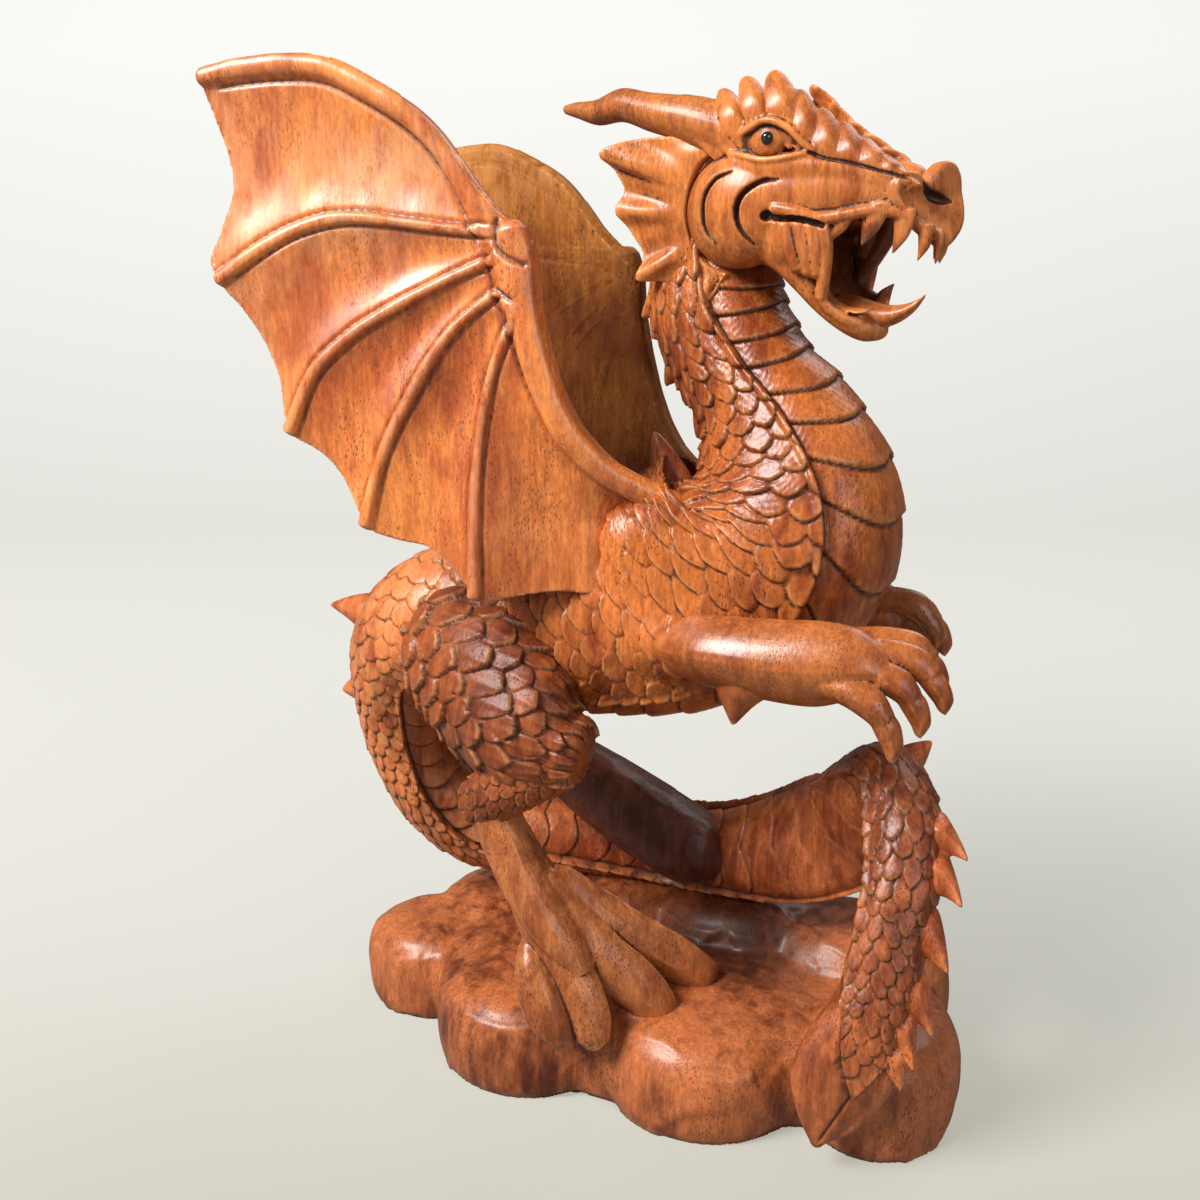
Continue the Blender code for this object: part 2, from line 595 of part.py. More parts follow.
def centre_on_floor(objects):
    """Bring the statue to its height, with the middle of its box on the origin, at z 0."""
    corners = np.array([v.co[:] for obj in objects for v in obj.data.vertices])
    low, high = corners.min(axis=0), corners.max(axis=0)
    shift = Vector((-(low[0] + high[0]) / 2, -(low[1] + high[1]) / 2, -low[2]))
    scale = HEIGHT * MM / (high[2] - low[2])
    for obj in objects:
        obj.data.transform(Matrix.Scale(scale, 4) @ Matrix.Translation(shift))
    return shift, (high - low) * scale


def bead(name, side, radius=BEAD_RADIUS):
    """Pupil bead, set in the middle of the eyeball."""
    x, y, z = PUPIL_AT
    outward = Vector((GAZE[0], side * GAZE[1], GAZE[2])).normalized()
    centre = Vector((x, side * y, z)) - outward * (BEAD_RADIUS - BEAD_STANDS_PROUD)
    obj = ball(name, centre, (radius,) * 3)
    obj.data.transform(head_place())
    return obj


def bead_seat(name, side):
    """Cutter for the hollow that holds a bead with a little clearance."""
    cutter = bead(name, side, BEAD_RADIUS + BEAD_GAP)
    bpy.data.collections["dragon_statue"].objects.unlink(cutter)
    bpy.data.collections["cutters"].objects.link(cutter)
    cutter.hide_render = True
    cutter.display_type = "WIRE"
    return cutter


def cut(obj, cutter):
    """Cut one form out of the carving."""
    step = obj.modifiers.new("cut", "BOOLEAN")
    step.operation = "DIFFERENCE"
    step.solver = "EXACT"
    step.object = cutter
    apply_modifiers(obj)


def paint(obj, name, colour, roughness):
    """Give the object its own material."""
    material = bpy.data.materials.new(name)
    material.use_nodes = True
    shader = material.node_tree.nodes["Principled BSDF"]
    shader.inputs["Base Color"].default_value = colour
    shader.inputs["Roughness"].default_value = roughness
    shader.inputs["Metallic"].default_value = 0.0
    obj.data.materials.clear()
    obj.data.materials.append(material)


def clear_scene():
    for obj in list(bpy.data.objects):
        bpy.data.objects.remove(obj, do_unlink=True)
    for name in ("dragon_statue", "cutters"):
        collection = bpy.data.collections.new(name)
        bpy.context.scene.collection.children.link(collection)


def main():
    clear_scene()
    forms = [loft("body", SPINE, around=32, flatness=BELLY_FLATNESS)]
    for k, (place, length, lean) in enumerate(RIDGE_SPIKES):
        forms.append(ridge_spike(k, place, length, lean))
    forms += wing(-1, "right_wing", 1.0) + wing(1, "left_wing", LEFT_WING_RISE)
    forms += head() + hind_legs() + forelegs() + rock()
    dragon = join("dragon", forms)
    carve_to_one_body(dragon)
    keep_largest(dragon)
    seat_flat(dragon)
    beads = [bead("right_pupil", -1), bead("left_pupil", 1)]
    for side, name in ((-1, "right_seat"), (1, "left_seat")):
        cut(dragon, bead_seat(name, side))
    shift, size = centre_on_floor([dragon] + beads)
    paint(dragon, "oiled_wood", WOOD_COLOUR, WOOD_ROUGHNESS)
    for obj in beads:
        paint(obj, obj.name + "_glass", BEAD_COLOUR, BEAD_ROUGHNESS)
    print("shift mm", [round(v / MM, 1) for v in shift])
    print("size mm", [round(v / MM, 1) for v in size])
    print("triangles", sum(len(p.vertices) - 2 for p in dragon.data.polygons))


main()
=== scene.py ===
# %% [markdown]
# # A dragon carved from one block
# The real object is a statue of about 0.42 m, cut by hand from one block of tropical
# hardwood: a dragon with raised wings and a looped tail, standing on a lobed rock.
# The faceted solid from the CAD gives its pose and size. This notebook carves the same forms
# again at a finer grain, cuts the scales, plates, ribs, teeth and folds into them as real
# geometry, and then stains, oils and waxes the wood, with some shade and light painted into it.

import math
import time

import bmesh
import bpy
import numpy as np
from mathutils import Matrix, Vector


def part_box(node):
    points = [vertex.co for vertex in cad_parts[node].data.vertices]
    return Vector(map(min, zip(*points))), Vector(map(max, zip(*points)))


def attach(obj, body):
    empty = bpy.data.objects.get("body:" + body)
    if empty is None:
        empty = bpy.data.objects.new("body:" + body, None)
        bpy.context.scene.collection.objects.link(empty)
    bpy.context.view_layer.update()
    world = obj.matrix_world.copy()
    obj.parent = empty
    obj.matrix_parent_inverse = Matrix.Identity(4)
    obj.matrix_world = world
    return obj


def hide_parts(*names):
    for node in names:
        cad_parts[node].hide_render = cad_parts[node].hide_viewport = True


started = time.time()
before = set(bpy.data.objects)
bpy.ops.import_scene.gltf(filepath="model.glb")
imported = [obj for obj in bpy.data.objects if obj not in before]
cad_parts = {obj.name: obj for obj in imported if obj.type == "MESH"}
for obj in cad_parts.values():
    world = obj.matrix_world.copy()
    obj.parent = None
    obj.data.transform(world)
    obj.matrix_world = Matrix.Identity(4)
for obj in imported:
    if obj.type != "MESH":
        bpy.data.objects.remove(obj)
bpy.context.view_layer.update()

# %% [markdown]
# ## The block's own frame
# A carver measures from the block, and so does this notebook: forms are given in millimetres
# from the corner that the CAD used, with the dragon's right side at -Y. The middles of the
# two pupil beads are known in the block and can be measured in the frame, so they tell how
# the block's millimetres map to the frame's metres, and nothing has to be fitted by eye.

# %% From block millimetres to the frame
MM = 0.001
HEAD_PIVOT = (20.0, 0.0, 365.0)
HEAD_TURN = -17.0
HEAD_TIP = 6.0
PUPIL_AT = (42, 23, 24)
GAZE = (0.2, 1.0, 0.1)
BEAD_SINKS = 0.9          # the bead's centre lies this far inside the eyeball's skin


def head_place():
    """Turn and place of the head: it looks a little over the right shoulder."""
    turn = Matrix.Rotation(math.radians(HEAD_TURN), 4, "Z")
    tip = Matrix.Rotation(math.radians(HEAD_TIP), 4, "X")
    return Matrix.Translation(HEAD_PIVOT) @ turn @ tip


def bead_centre(side):
    """Centre of a pupil bead in the block, sunk into the eye along its gaze."""
    x, y, z = PUPIL_AT
    look = Vector((GAZE[0], side * GAZE[1], GAZE[2])).normalized()
    return head_place() @ (Vector((x, side * y, z)) - look * BEAD_SINKS)


def middle(node):
    """Middle of a CAD node's box in the frame."""
    low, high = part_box(node)
    return (low + high) / 2


pupils = {-1: middle("right_pupil"), 1: middle("left_pupil")}
spread = (bead_centre(1) - bead_centre(-1)).length
SCALE = (pupils[1] - pupils[-1]).length / spread
SHIFT = np.array(pupils[-1] - bead_centre(-1) * SCALE)
print("block to frame: scale %.6f, shift mm %s" % (SCALE, np.round(SHIFT / MM, 2)))


def to_frame(points):
    """Block millimetres to the frame's metres."""
    return np.asarray(points, float) * SCALE + SHIFT


# %% [markdown]
# ## Curves and tubes
# Nearly every part of the dragon is a limb: a round form that follows a line. On a computer
# that could be a curve with a bevel, but a bevel is always round, while a carved limb is
# deeper than it is wide, so each limb is a smooth line of sections (a Catmull-Rom spline)
# with its own depth and width, skinned into a closed tube. A corner value below 2 turns the
# round section towards a diamond, which is how a chisel leaves a toe or a spike, and one
# above 2 squares it, as the skull and the jaw are.

# %% Smooth lines
def catmull(rows, steps):
    """Smooth curve through rows of any width, with steps points for each span."""
    rows = np.asarray(rows, float)
    padded = np.vstack([2 * rows[0] - rows[1], rows, 2 * rows[-1] - rows[-2]])
    t = np.arange(steps)[:, None] / steps
    out = []
    for i in range(len(rows) - 1):
        a, b, c, d = padded[i:i + 4]
        out.append(0.5 * (2 * b + (c - a) * t + (2 * a - 5 * b + 4 * c - d) * t ** 2
                          + (3 * b - a - 3 * c + d) * t ** 3))
    return np.vstack(out + [rows[-1:]])


def unit(vectors):
    """Vectors made one long."""
    vectors = np.asarray(vectors, float)
    return vectors / np.maximum(np.linalg.norm(vectors, axis=-1, keepdims=True), 1e-9)


def lengths(line):
    """Distance along a line at each of its points."""
    steps = np.linalg.norm(np.diff(line[:, :3], axis=0), axis=1)
    return np.concatenate([[0.0], np.cumsum(steps)])


def section(angles, corner):
    """Points of a section: round at corner 2, a diamond at 1."""
    c, s = np.cos(angles), np.sin(angles)
    size = (np.abs(c) ** corner + np.abs(s) ** corner) ** (-1.0 / corner)
    return c * size, s * size


print("a bend of three points becomes %d points" % len(catmull([(0, 0), (1, 0), (1, 1)], 8)))

# %% Tubes
CAP_OUT = 0.6             # the extra ring at each end of a tube lies this far towards its tip
CAP_SIZE = 0.72           # and has this share of the last section's size


def tube(rows, around=24, steps=8, lean=(0.0, 0.0, -1.0), corner=2.0, blunt=0.75):
    """Closed shell through sections. A row is x, y, z, half depth, half width, and may go on
    with the direction of its depth; without one, lean is the direction."""
    rows = [tuple(r) + (() if len(r) == 8 else tuple(lean)) for r in rows]
    line = catmull(rows, steps)
    centre, deep, wide, belly = line[:, :3], line[:, 3], line[:, 4], unit(line[:, 5:8])
    tangent = unit(np.gradient(centre, axis=0))
    side = unit(np.cross(tangent, belly))
    c, s = section(np.linspace(0, 2 * math.pi, around, endpoint=False), corner)
    ends = []
    for end, sign in ((0, -1), (-1, 1)):
        size = min(deep[end], wide[end]) * blunt
        ends.append((centre[end] + tangent[end] * sign * size,
                     centre[end] + tangent[end] * sign * size * CAP_OUT))
    spots = np.vstack([ends[0][1], centre, ends[1][1]])
    deep, wide = (np.concatenate([[r[0] * CAP_SIZE], r, [r[-1] * CAP_SIZE]]) for r in (deep, wide))
    belly = np.vstack([belly[:1], belly, belly[-1:]])
    side = np.vstack([side[:1], side, side[-1:]])
    rings = (spots[:, None] + belly[:, None] * (deep[:, None] * c)[..., None]
             + side[:, None] * (wide[:, None] * s)[..., None])
    verts = np.vstack([ends[0][0][None], rings.reshape(-1, 3), ends[1][0][None]])
    return verts, tube_faces(len(spots), around)


def tube_faces(rings, around):
    """Faces of a closed shell: first point, rings of points, last point."""
    j = np.arange(around)
    k = (j + 1) % around
    last = 1 + (rings - 1) * around
    faces = [tuple(f) for f in np.stack([0 * j, 1 + k, 1 + j], axis=1)]
    for i in range(rings - 1):
        a = 1 + i * around
        faces += [tuple(f) for f in np.stack([a + j, a + k, a + around + k, a + around + j], 1)]
    faces += [tuple(f) for f in np.stack([0 * j + last + around, last + j, last + k], axis=1)]
    return faces


print("a 60 mm test limb has %d points" % len(tube([(0, 0, 0, 5, 5), (60, 0, 0, 8, 6)])[0]))

# %% Balls, mirrored rows and soft steps
def ball(centre, radii, rings=20, around=28):
    """Ellipsoid shell."""
    rise = np.linspace(0, math.pi, rings)[1:-1]
    a = np.linspace(0, 2 * math.pi, around, endpoint=False)
    body = np.stack([np.outer(np.sin(rise), np.cos(a)), np.outer(np.sin(rise), np.sin(a)),
                     np.outer(np.cos(rise), np.ones(around))], axis=2).reshape(-1, 3)
    verts = np.vstack([[[0, 0, 1.0]], body, [[0, 0, -1.0]]]) * np.array(radii)
    return verts + np.array(centre), tube_faces(rings - 2, around)


def flipped(rows, side):
    """The same rows on the dragon's other side when side is -1."""
    return [(r[0], r[1] * side) + tuple(r[2:]) for r in rows]


def smoothstep(low, high, x):
    """Soft step from 0 at low to 1 at high, whichever of the two is the greater."""
    t = np.clip((x - low) / (high - low), 0.0, 1.0)
    return t * t * (3 - 2 * t)


def bell(away, width, centre=0.0):
    """Soft bump: 1 at the centre and nearly nothing at twice the width from it."""
    return np.exp(-((away - centre) / width) ** 2)


print("soft steps:", smoothstep(0, 1, 0.25), smoothstep(1, 0, 0.25), "bell:", round(bell(1, 2), 3))

# %% [markdown]
# ## From shells to one carved skin
# Overlapping shells look glued together. A voxel remesh melts them into one skin, and a few
# smoothing passes round the seams as sandpaper would. The remesh makes an even mesh, so fine
# cuts can come after it: every cut below moves the points of that mesh along their normals.
# At the end the mesh is thinned where it is flat, because wings need few triangles.

# %% Fusing shells
def add_piece(name, verts, faces):
    """New mesh object in the scene."""
    mesh = bpy.data.meshes.new(name)
    mesh.from_pydata(np.asarray(verts).tolist(), [], [tuple(int(i) for i in f) for f in faces])
    obj = bpy.data.objects.new(name, mesh)
    bpy.context.scene.collection.objects.link(obj)
    return obj


def apply_modifiers(obj):
    graph = bpy.context.evaluated_depsgraph_get()
    mesh = bpy.data.meshes.new_from_object(obj.evaluated_get(graph))
    obj.modifiers.clear()
    old = obj.data
    obj.data = mesh
    bpy.data.meshes.remove(old)


def gather(shells):
    """Several shells as one list of points and one of faces."""
    verts, faces, base = [], [], 0
    for v, f in shells:
        verts.append(np.asarray(v, float))
        faces += [tuple(int(i) + base for i in face) for face in f]
        base += len(v)
    return np.vstack(verts), faces


def outward(obj):
    """Turn the faces of every shell outwards."""
    shell = bmesh.new()
    shell.from_mesh(obj.data)
    bmesh.ops.recalc_face_normals(shell, faces=shell.faces)
    shell.to_mesh(obj.data)
    shell.free()


def fuse(name, shells, voxel, passes=4):
    """Melt shells into one skin with an even mesh."""
    obj = add_piece(name, *gather(shells))
    outward(obj)
    melt = obj.modifiers.new("melt", "REMESH")
    melt.mode = "VOXEL"
    melt.voxel_size = voxel
    sand = obj.modifiers.new("sand", "SMOOTH")
    sand.factor = 0.5
    sand.iterations = passes
    apply_modifiers(obj)
    return obj


TEST_BALLS = [ball((0, 0, 0), (5, 5, 5)), ball((8, 0, 0), (4, 4, 4))]
print("two test balls gathered: %d points" % len(gather(TEST_BALLS)[0]))

# %% Points, normals and stored values
def read(rows, field, width, kind):
    """One field of all points, normals or edges as an array."""
    flat = np.empty(len(rows) * width, kind)
    rows.foreach_get(field, flat)
    return flat.reshape(-1, width)


def points_of(obj):
    return read(obj.data.vertices, "co", 3, np.float32).astype(float)


def normals_of(obj):
    return read(obj.data.vertex_normals, "vector", 3, np.float32).astype(float)


def edges_of(obj):
    return read(obj.data.edges, "vertices", 2, np.int32)


def set_points(obj, points):
    obj.data.vertices.foreach_set("co", np.asarray(points, np.float32).ravel())
    obj.data.update()


def set_value(obj, name, values):
    """Store one number at each point, for the shader to read."""
    found = obj.data.attributes.get(name) or obj.data.attributes.new(name, "FLOAT", "POINT")
    found.data.foreach_set("value", np.asarray(values, np.float32))


def set_masks(obj, staining_and_painted_shade, worn_and_painted_light):
    """The two values that every finish reads: stain in the cuts and painted shade, rubbed wood on the
    edges and painted light.
    """
    set_value(obj, "staining_and_painted_shade", staining_and_painted_shade)
    set_value(obj, "worn_and_painted_light", worn_and_painted_light)


print("CAD nodes:", sorted(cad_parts))

# %% Where the skin is hollow
def spread_out(values, edges, passes):
    """Average of each point with its neighbours, several times over."""
    count = np.bincount(edges.ravel(), minlength=len(values)) + 1.0
    for _ in range(passes):
        total = values.copy()
        total += np.bincount(edges[:, 0], weights=values[edges[:, 1]], minlength=len(values))
        total += np.bincount(edges[:, 1], weights=values[edges[:, 0]], minlength=len(values))
        values = total / count
    return values


def hollowness(obj, passes=2):
    """Signed bend of the skin in 1/mm: above 0 in a groove, below 0 on an edge."""
    points, normals, edges = points_of(obj), normals_of(obj), edges_of(obj)
    a, b = edges[:, 0], edges[:, 1]
    along = points[b] - points[a]
    square = np.maximum((along ** 2).sum(axis=1), 1e-6)
    from_a = 2 * (along * normals[a]).sum(axis=1) / square
    from_b = -2 * (along * normals[b]).sum(axis=1) / square
    n = len(points)
    total = np.bincount(a, weights=from_a, minlength=n)
    total = total + np.bincount(b, weights=from_b, minlength=n)
    count = np.maximum(np.bincount(edges.ravel(), minlength=n), 1)
    return spread_out(total / count, edges, passes)


TEST_EDGES = np.array([[0, 1], [1, 2]])
print("0, 0, 3 spread once along a line:", spread_out(np.array([0.0, 0.0, 3.0]), TEST_EDGES, 1))

# %% Finishing a piece
def triangles_of(obj):
    return sum(len(p.vertices) - 2 for p in obj.data.polygons)


def thin_out(obj, triangles):
    """Remove triangles where the skin is flat, down to about that number."""
    if triangles_of(obj) <= triangles:
        return
    thin = obj.modifiers.new("thin", "DECIMATE")
    thin.ratio = triangles / triangles_of(obj)
    thin.use_collapse_triangulate = True
    apply_modifiers(obj)


pieces = {}


def finish_piece(obj, triangles):
    """Thin, place in the frame, ride on the statue and stand for the carving."""
    thin_out(obj, triangles)
    set_points(obj, to_frame(points_of(obj)))
    obj.data.shade_smooth()
    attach(obj, "root")
    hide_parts("dragon")
    pieces[obj.name] = obj
    print("%s: %d triangles, %.0f s so far" % (obj.name, triangles_of(obj), time.time() - started))


print("pieces so far:", len(pieces))

# %% [markdown]
# ## The spine
# One line runs from the tip of the tail, up its front loop, down behind the legs, round the
# rump, along the belly and up the neck. Each row holds a place, the half depth towards the
# belly, the half width, and which way the belly faces there. These are the CAD's own rows, so
# the carved body fills the faceted solid. The body isn't remeshed: a grid wrapped round the
# spine knows at each point how far along and how far round it is, and scales need exactly that.

# %% The spine's rows
SPINE = [
    (87, -45, 13, 4, 4, -0.92, -0.3, 0.0), (90, -46, 27, 15, 6, -0.92, -0.3, 0.0),
    (93, -45, 43, 22, 8, -0.92, -0.3, 0.0), (97, -41, 58, 20, 10, -0.92, -0.2, 0.0),
    (102, -35, 71, 17, 13, -0.92, -0.1, -0.05), (105, -30, 84, 16, 14, -0.94, 0.0, -0.1),
    (107, -24, 101, 16, 15, -0.96, 0.05, -0.15), (109, -17, 118, 16, 16, -0.96, 0.1, -0.25),
    (107, -7, 134, 17, 17, -0.85, -0.1, -0.5), (100, 6, 144, 17, 18, -0.45, -0.65, -0.55),
    (91, 18, 132, 18, 21, -0.15, -0.9, -0.1), (80, 26, 115, 18, 26, 0.0, -0.93, 0.25),
    (54, 38, 97, 19, 25, 0.1, -0.9, 0.4), (20, 50, 84, 19, 21, 0.15, -0.87, 0.45),
    (-18, 60, 77, 19, 20, 0.15, -0.8, 0.6), (-62, 49, 80, 21, 21, 0.2, -0.65, 0.75),
    (-99, 31, 83, 19, 21, 0.5, -0.35, 0.8), (-118, 18, 104, 20, 21, 0.8, -0.15, 0.55),
    (-127, 11, 131, 21, 22, 0.97, -0.05, 0.2), (-128, 6, 157, 23, 24, 0.95, 0.0, -0.3),
    (-122, 2, 178, 27, 28, 0.75, 0.0, -0.66), (-106, 0, 192, 33, 32, 0.41, 0.0, -0.91),
    (-76, 0, 198, 42, 36, 0.25, 0.0, -0.97), (-35, 0, 202, 48, 38, 0.16, 0.0, -0.99),
    (1, 0, 209, 53, 39, 0.23, 0.0, -0.97), (25, 0, 219, 56, 40, 0.41, 0.0, -0.91),
    (45, 0, 233, 57, 41, 0.67, 0.0, -0.74), (57, 0, 250, 56, 40, 0.82, 0.0, -0.57),
    (59, 0, 271, 52, 36, 0.92, 0.0, -0.39), (51, 0, 293, 43, 30, 0.98, 0.0, -0.2),
    (38, 0, 313, 35, 26, 1.0, 0.0, -0.1), (29, 0, 331, 30, 24, 1.0, 0.0, 0.02),
    (26, 0, 350, 26, 22, 1.0, 0.0, 0.04), (26, 0, 364, 20, 19, 1.0, 0.0, 0.04),
]
BELLY_FLATNESS = 0.82
SHOULDER = ((14, 27, 243), (27, 17, 25))      # a muscle: its centre and its three radii
LEG_ROOT = ((24, 34, 206), (22, 13, 16))
GRID = 0.68               # spacing of the body's grid along the spine
BODY_ROUND = 260          # points round the body
BLUR = 6                  # a muscle's rim is softened over this many grid points each way


print("the spine has %d rows" % len(SPINE))

# %% A grid wrapped round a line
def even_rows(rows, spacing, steps=24):
    """Rows evenly spaced along their line, the source row of each and how far along it is."""
    line = catmull(rows, steps)
    far = lengths(line)
    at = np.linspace(0, far[-1], int(far[-1] / spacing) + 1)
    place = np.arange(len(line)) / steps
    even = np.stack([np.interp(at, far, line[:, k]) for k in range(line.shape[1])], axis=1)
    return even, np.interp(at, far, place), at


def wrap(rows, around, spacing, flatness=1.0, soften=9):
    """Grid of points wrapped round a line of sections, with what each point knows."""
    line, place, along = even_rows(rows, spacing)
    kernel = np.ones(soften) / soften
    tangent = unit(np.gradient(line[:, :3], axis=0))
    padded = np.vstack([tangent[:1]] * (soften // 2) + [tangent] + [tangent[-1:]] * (soften // 2))
    tangent = unit(np.stack([np.convolve(padded[:, k], kernel, "valid") for k in range(3)], 1))
    belly = unit(line[:, 5:8])
    square = belly - (belly * tangent).sum(axis=1, keepdims=True) * tangent
    deep = line[:, 3] * np.linalg.norm(square, axis=1)
    belly = unit(square)
    side = np.cross(tangent, belly)
    angle = np.linspace(0, 2 * math.pi, around, endpoint=False)
    push = deep[:, None] * np.cos(angle) * np.where(np.cos(angle) > 0, flatness, 1.0)
    across = line[:, 4, None] * np.sin(angle)
    points = line[:, None, :3] + belly[:, None] * push[..., None] + side[:, None] * across[..., None]
    return {"points": points, "centre": line[:, :3], "tangent": tangent, "belly": belly,
            "place": place, "along": along, "angle": angle, "deep": deep, "wide": line[:, 4]}


def grid_normals(grid):
    """Outward directions at the points of a wrapped grid."""
    points = grid["points"]
    lengthwise = np.gradient(points, axis=0)
    round_ = np.roll(points, -1, axis=1) - np.roll(points, 1, axis=1)
    normals = unit(np.cross(lengthwise, round_))
    out = points - grid["centre"][:, None]
    return normals * np.sign((normals * out).sum(axis=2, keepdims=True))


print("rings along the spine:", len(even_rows(SPINE, GRID)[0]))

# %% The body with its muscles
def swell(points, normals, centre, radii, onset=1.5):
    """Press points outwards onto an ellipsoid that stands through the skin, as a muscle."""
    q = (points - np.array(centre)) / np.array(radii)
    m = normals / np.array(radii)
    qm, mm = (q * m).sum(-1), (m * m).sum(-1)
    root = np.sqrt(np.maximum(qm ** 2 - mm * ((q * q).sum(-1) - 1), 0))
    reach = np.where((q * q).sum(-1) < 1, (root - qm) / mm, 0.0)
    return points + normals * (reach ** 2 / (reach + onset))[..., None]


def grid_piece(name, grid, values):
    """Closed mesh from a wrapped grid, with values stored at its points."""
    points = grid["points"]
    rings, around = points.shape[:2]
    ends = [points[0].mean(axis=0), points[-1].mean(axis=0)]
    verts = np.vstack([ends[0][None], points.reshape(-1, 3), ends[1][None]])
    obj = add_piece(name, verts, tube_faces(rings, around))
    for key, v in values.items():
        set_value(obj, key, np.concatenate([[0.0], v.ravel(), [0.0]]))
    return obj


body = wrap(SPINE, BODY_ROUND, GRID, BELLY_FLATNESS)
for (x, y, z), radii in (SHOULDER, LEG_ROOT):
    for side in (-1, 1):
        raised = swell(body["points"], grid_normals(body), (x, side * y, z), radii)
        push = raised - body["points"]
        for axis in (0, 1, 0, 1):
            push = sum(np.roll(push, k, axis) for k in range(-BLUR, BLUR + 1)) / (2 * BLUR + 1)
        body["points"] = body["points"] + push
print("spine %.0f mm long, grid %s" % (body["along"][-1], body["points"].shape[:2]))

# %% [markdown]
# ## Scales and plates
# A carver draws rows of arcs and pares each scale down towards the one before it, so that
# its free edge stands over the next scale's root. The same is done here with numbers: u
# counts rows towards the tail and v counts scales round the body. At any point the scale of
# the row before may still reach over, and then its surface shows; if not, the point's own
# scale shows. The step between the two is the free edge, and stain gathers just past it.
# Each scale gets its own small differences from a repeatable hash, as no two are alike.

# %% Overlapping scales
NO_EDGE = 9.0             # distance in mm that stands for "no free edge near this point"


def chance(i, j, seed):
    """Repeatable number from 0 to 1 for a row and a column."""
    x = np.sin(i * 127.1 + j * 311.7 + seed * 74.7) * 43758.5453
    return x - np.floor(x)


def one_row(u, v, row, lap, pointed, keel):
    """One row's scales at each point: distance down a scale, place across it (-1 to 1), where
    its free edge runs, and its height."""
    shift = 0.5 * np.mod(row, 2) + 0.26 * (chance(row, 3, 5) - 0.5)
    col = np.floor(v + shift)
    b = np.clip((v + shift - col - 0.5) * 2, -1, 1)
    a = u - row
    reach = lap * (0.65 + 0.7 * chance(row, col, 1))
    rounded = np.sqrt(np.clip(1 - b ** 2, 0, 1))
    edge = 1 + reach * (rounded * (1 - pointed) + (1 - np.abs(b)) * pointed)
    rise = np.clip(a / edge, 0, 1)
    height = rise * (0.8 + 0.4 * chance(row, col, 2)) + 0.16 * (1 - b ** 2)
    height += keel * np.clip(1 - np.abs(b) / 0.3, 0, 1) * rise
    height += 0.50 * (chance(row, col, 3) - 0.5) * b + 0.24 * (chance(row, col, 4) - 0.5)
    return a, b, edge, height


def scales(u, v, pitch, width, lap=0.55, pointed=0.3, keel=0.0):
    """Height (about -0.5 in a gap, 1.5 on an edge), dark gap and worn edge of the scales."""
    row = np.floor(u)
    _, b0, _, height0 = one_row(u, v, row, lap, pointed, keel)
    a1, b1, edge1, height1 = one_row(u, v, row - 1, lap, pointed, keel)
    over = a1 < edge1
    height = np.where(over, height1, height0)
    beyond = np.where(over, NO_EDGE, (a1 - edge1) * pitch)
    inside = np.where(over, (edge1 - a1) * pitch, NO_EDGE)
    seam = (1 - np.abs(np.where(over, b1, b0))) * width / 2
    dark = np.maximum(bell(beyond, 0.8), 0.75 * bell(seam, 0.5))
    height = height - 0.30 * bell(seam, 0.6) - 0.25 * bell(beyond, 0.7)
    return height, dark, bell(inside, 0.9)


def plates(u, t, pitch, wave=0.42):
    """The same for belly plates, where t runs from -1 to 1 across them."""
    def edge_of(row):
        lobes = np.abs(np.sin(math.pi * np.clip(t, -1, 1)))
        return 1 + wave * (0.55 * lobes + 0.75 * (1 - t ** 2)) + 0.10 * (chance(row, 0, 9) - 0.5)

    row = np.floor(u)
    edge0, edge1 = edge_of(row), edge_of(row - 1)
    a0, a1 = u - row, u - row + 1
    over = a1 < edge1
    height = np.where(over, a1 / edge1, a0 / edge0)
    beyond = np.where(over, NO_EDGE, (a1 - edge1) * pitch)
    inside = np.where(over, (edge1 - a1) * pitch, NO_EDGE)
    return height - 0.3 * bell(beyond, 0.9), bell(beyond, 1.0), bell(inside, 1.1)


def averaged(pattern, u, v, **rest):
    """Pattern averaged over a few spots within each grid cell, so that its edges run clean."""
    du, dv = np.abs(np.gradient(u, axis=0)), np.abs(np.gradient(v, axis=1))
    total = [0.0, 0.0, 0.0]
    for a, b in ((-0.375, -0.125), (-0.125, 0.375), (0.125, -0.375), (0.375, 0.125)):
        total = [t + s / 4 for t, s in zip(total, pattern(u + a * du, v + b * dv, **rest))]
    return total


u_test, v_test = np.meshgrid(np.linspace(0, 8, 400), np.linspace(0, 8, 400))
print("scale heights run %.2f to %.2f" % tuple(
    f(scales(u_test, v_test, 9, 9)[0]) for f in (np.min, np.max)))

# %% [markdown]
# ## Cutting the body
# The skin changes along the spine: small scales on the tail, large fish scales on the chest,
# narrow pointed ones up the neck. A short table gives, at a few places on the spine, where
# the belly plates end, how long and how thick a scale is, how many fit round one flank, and
# how long a plate is. The tail's end is a leaf: no scales, a V-shaped stem and a raised rim.

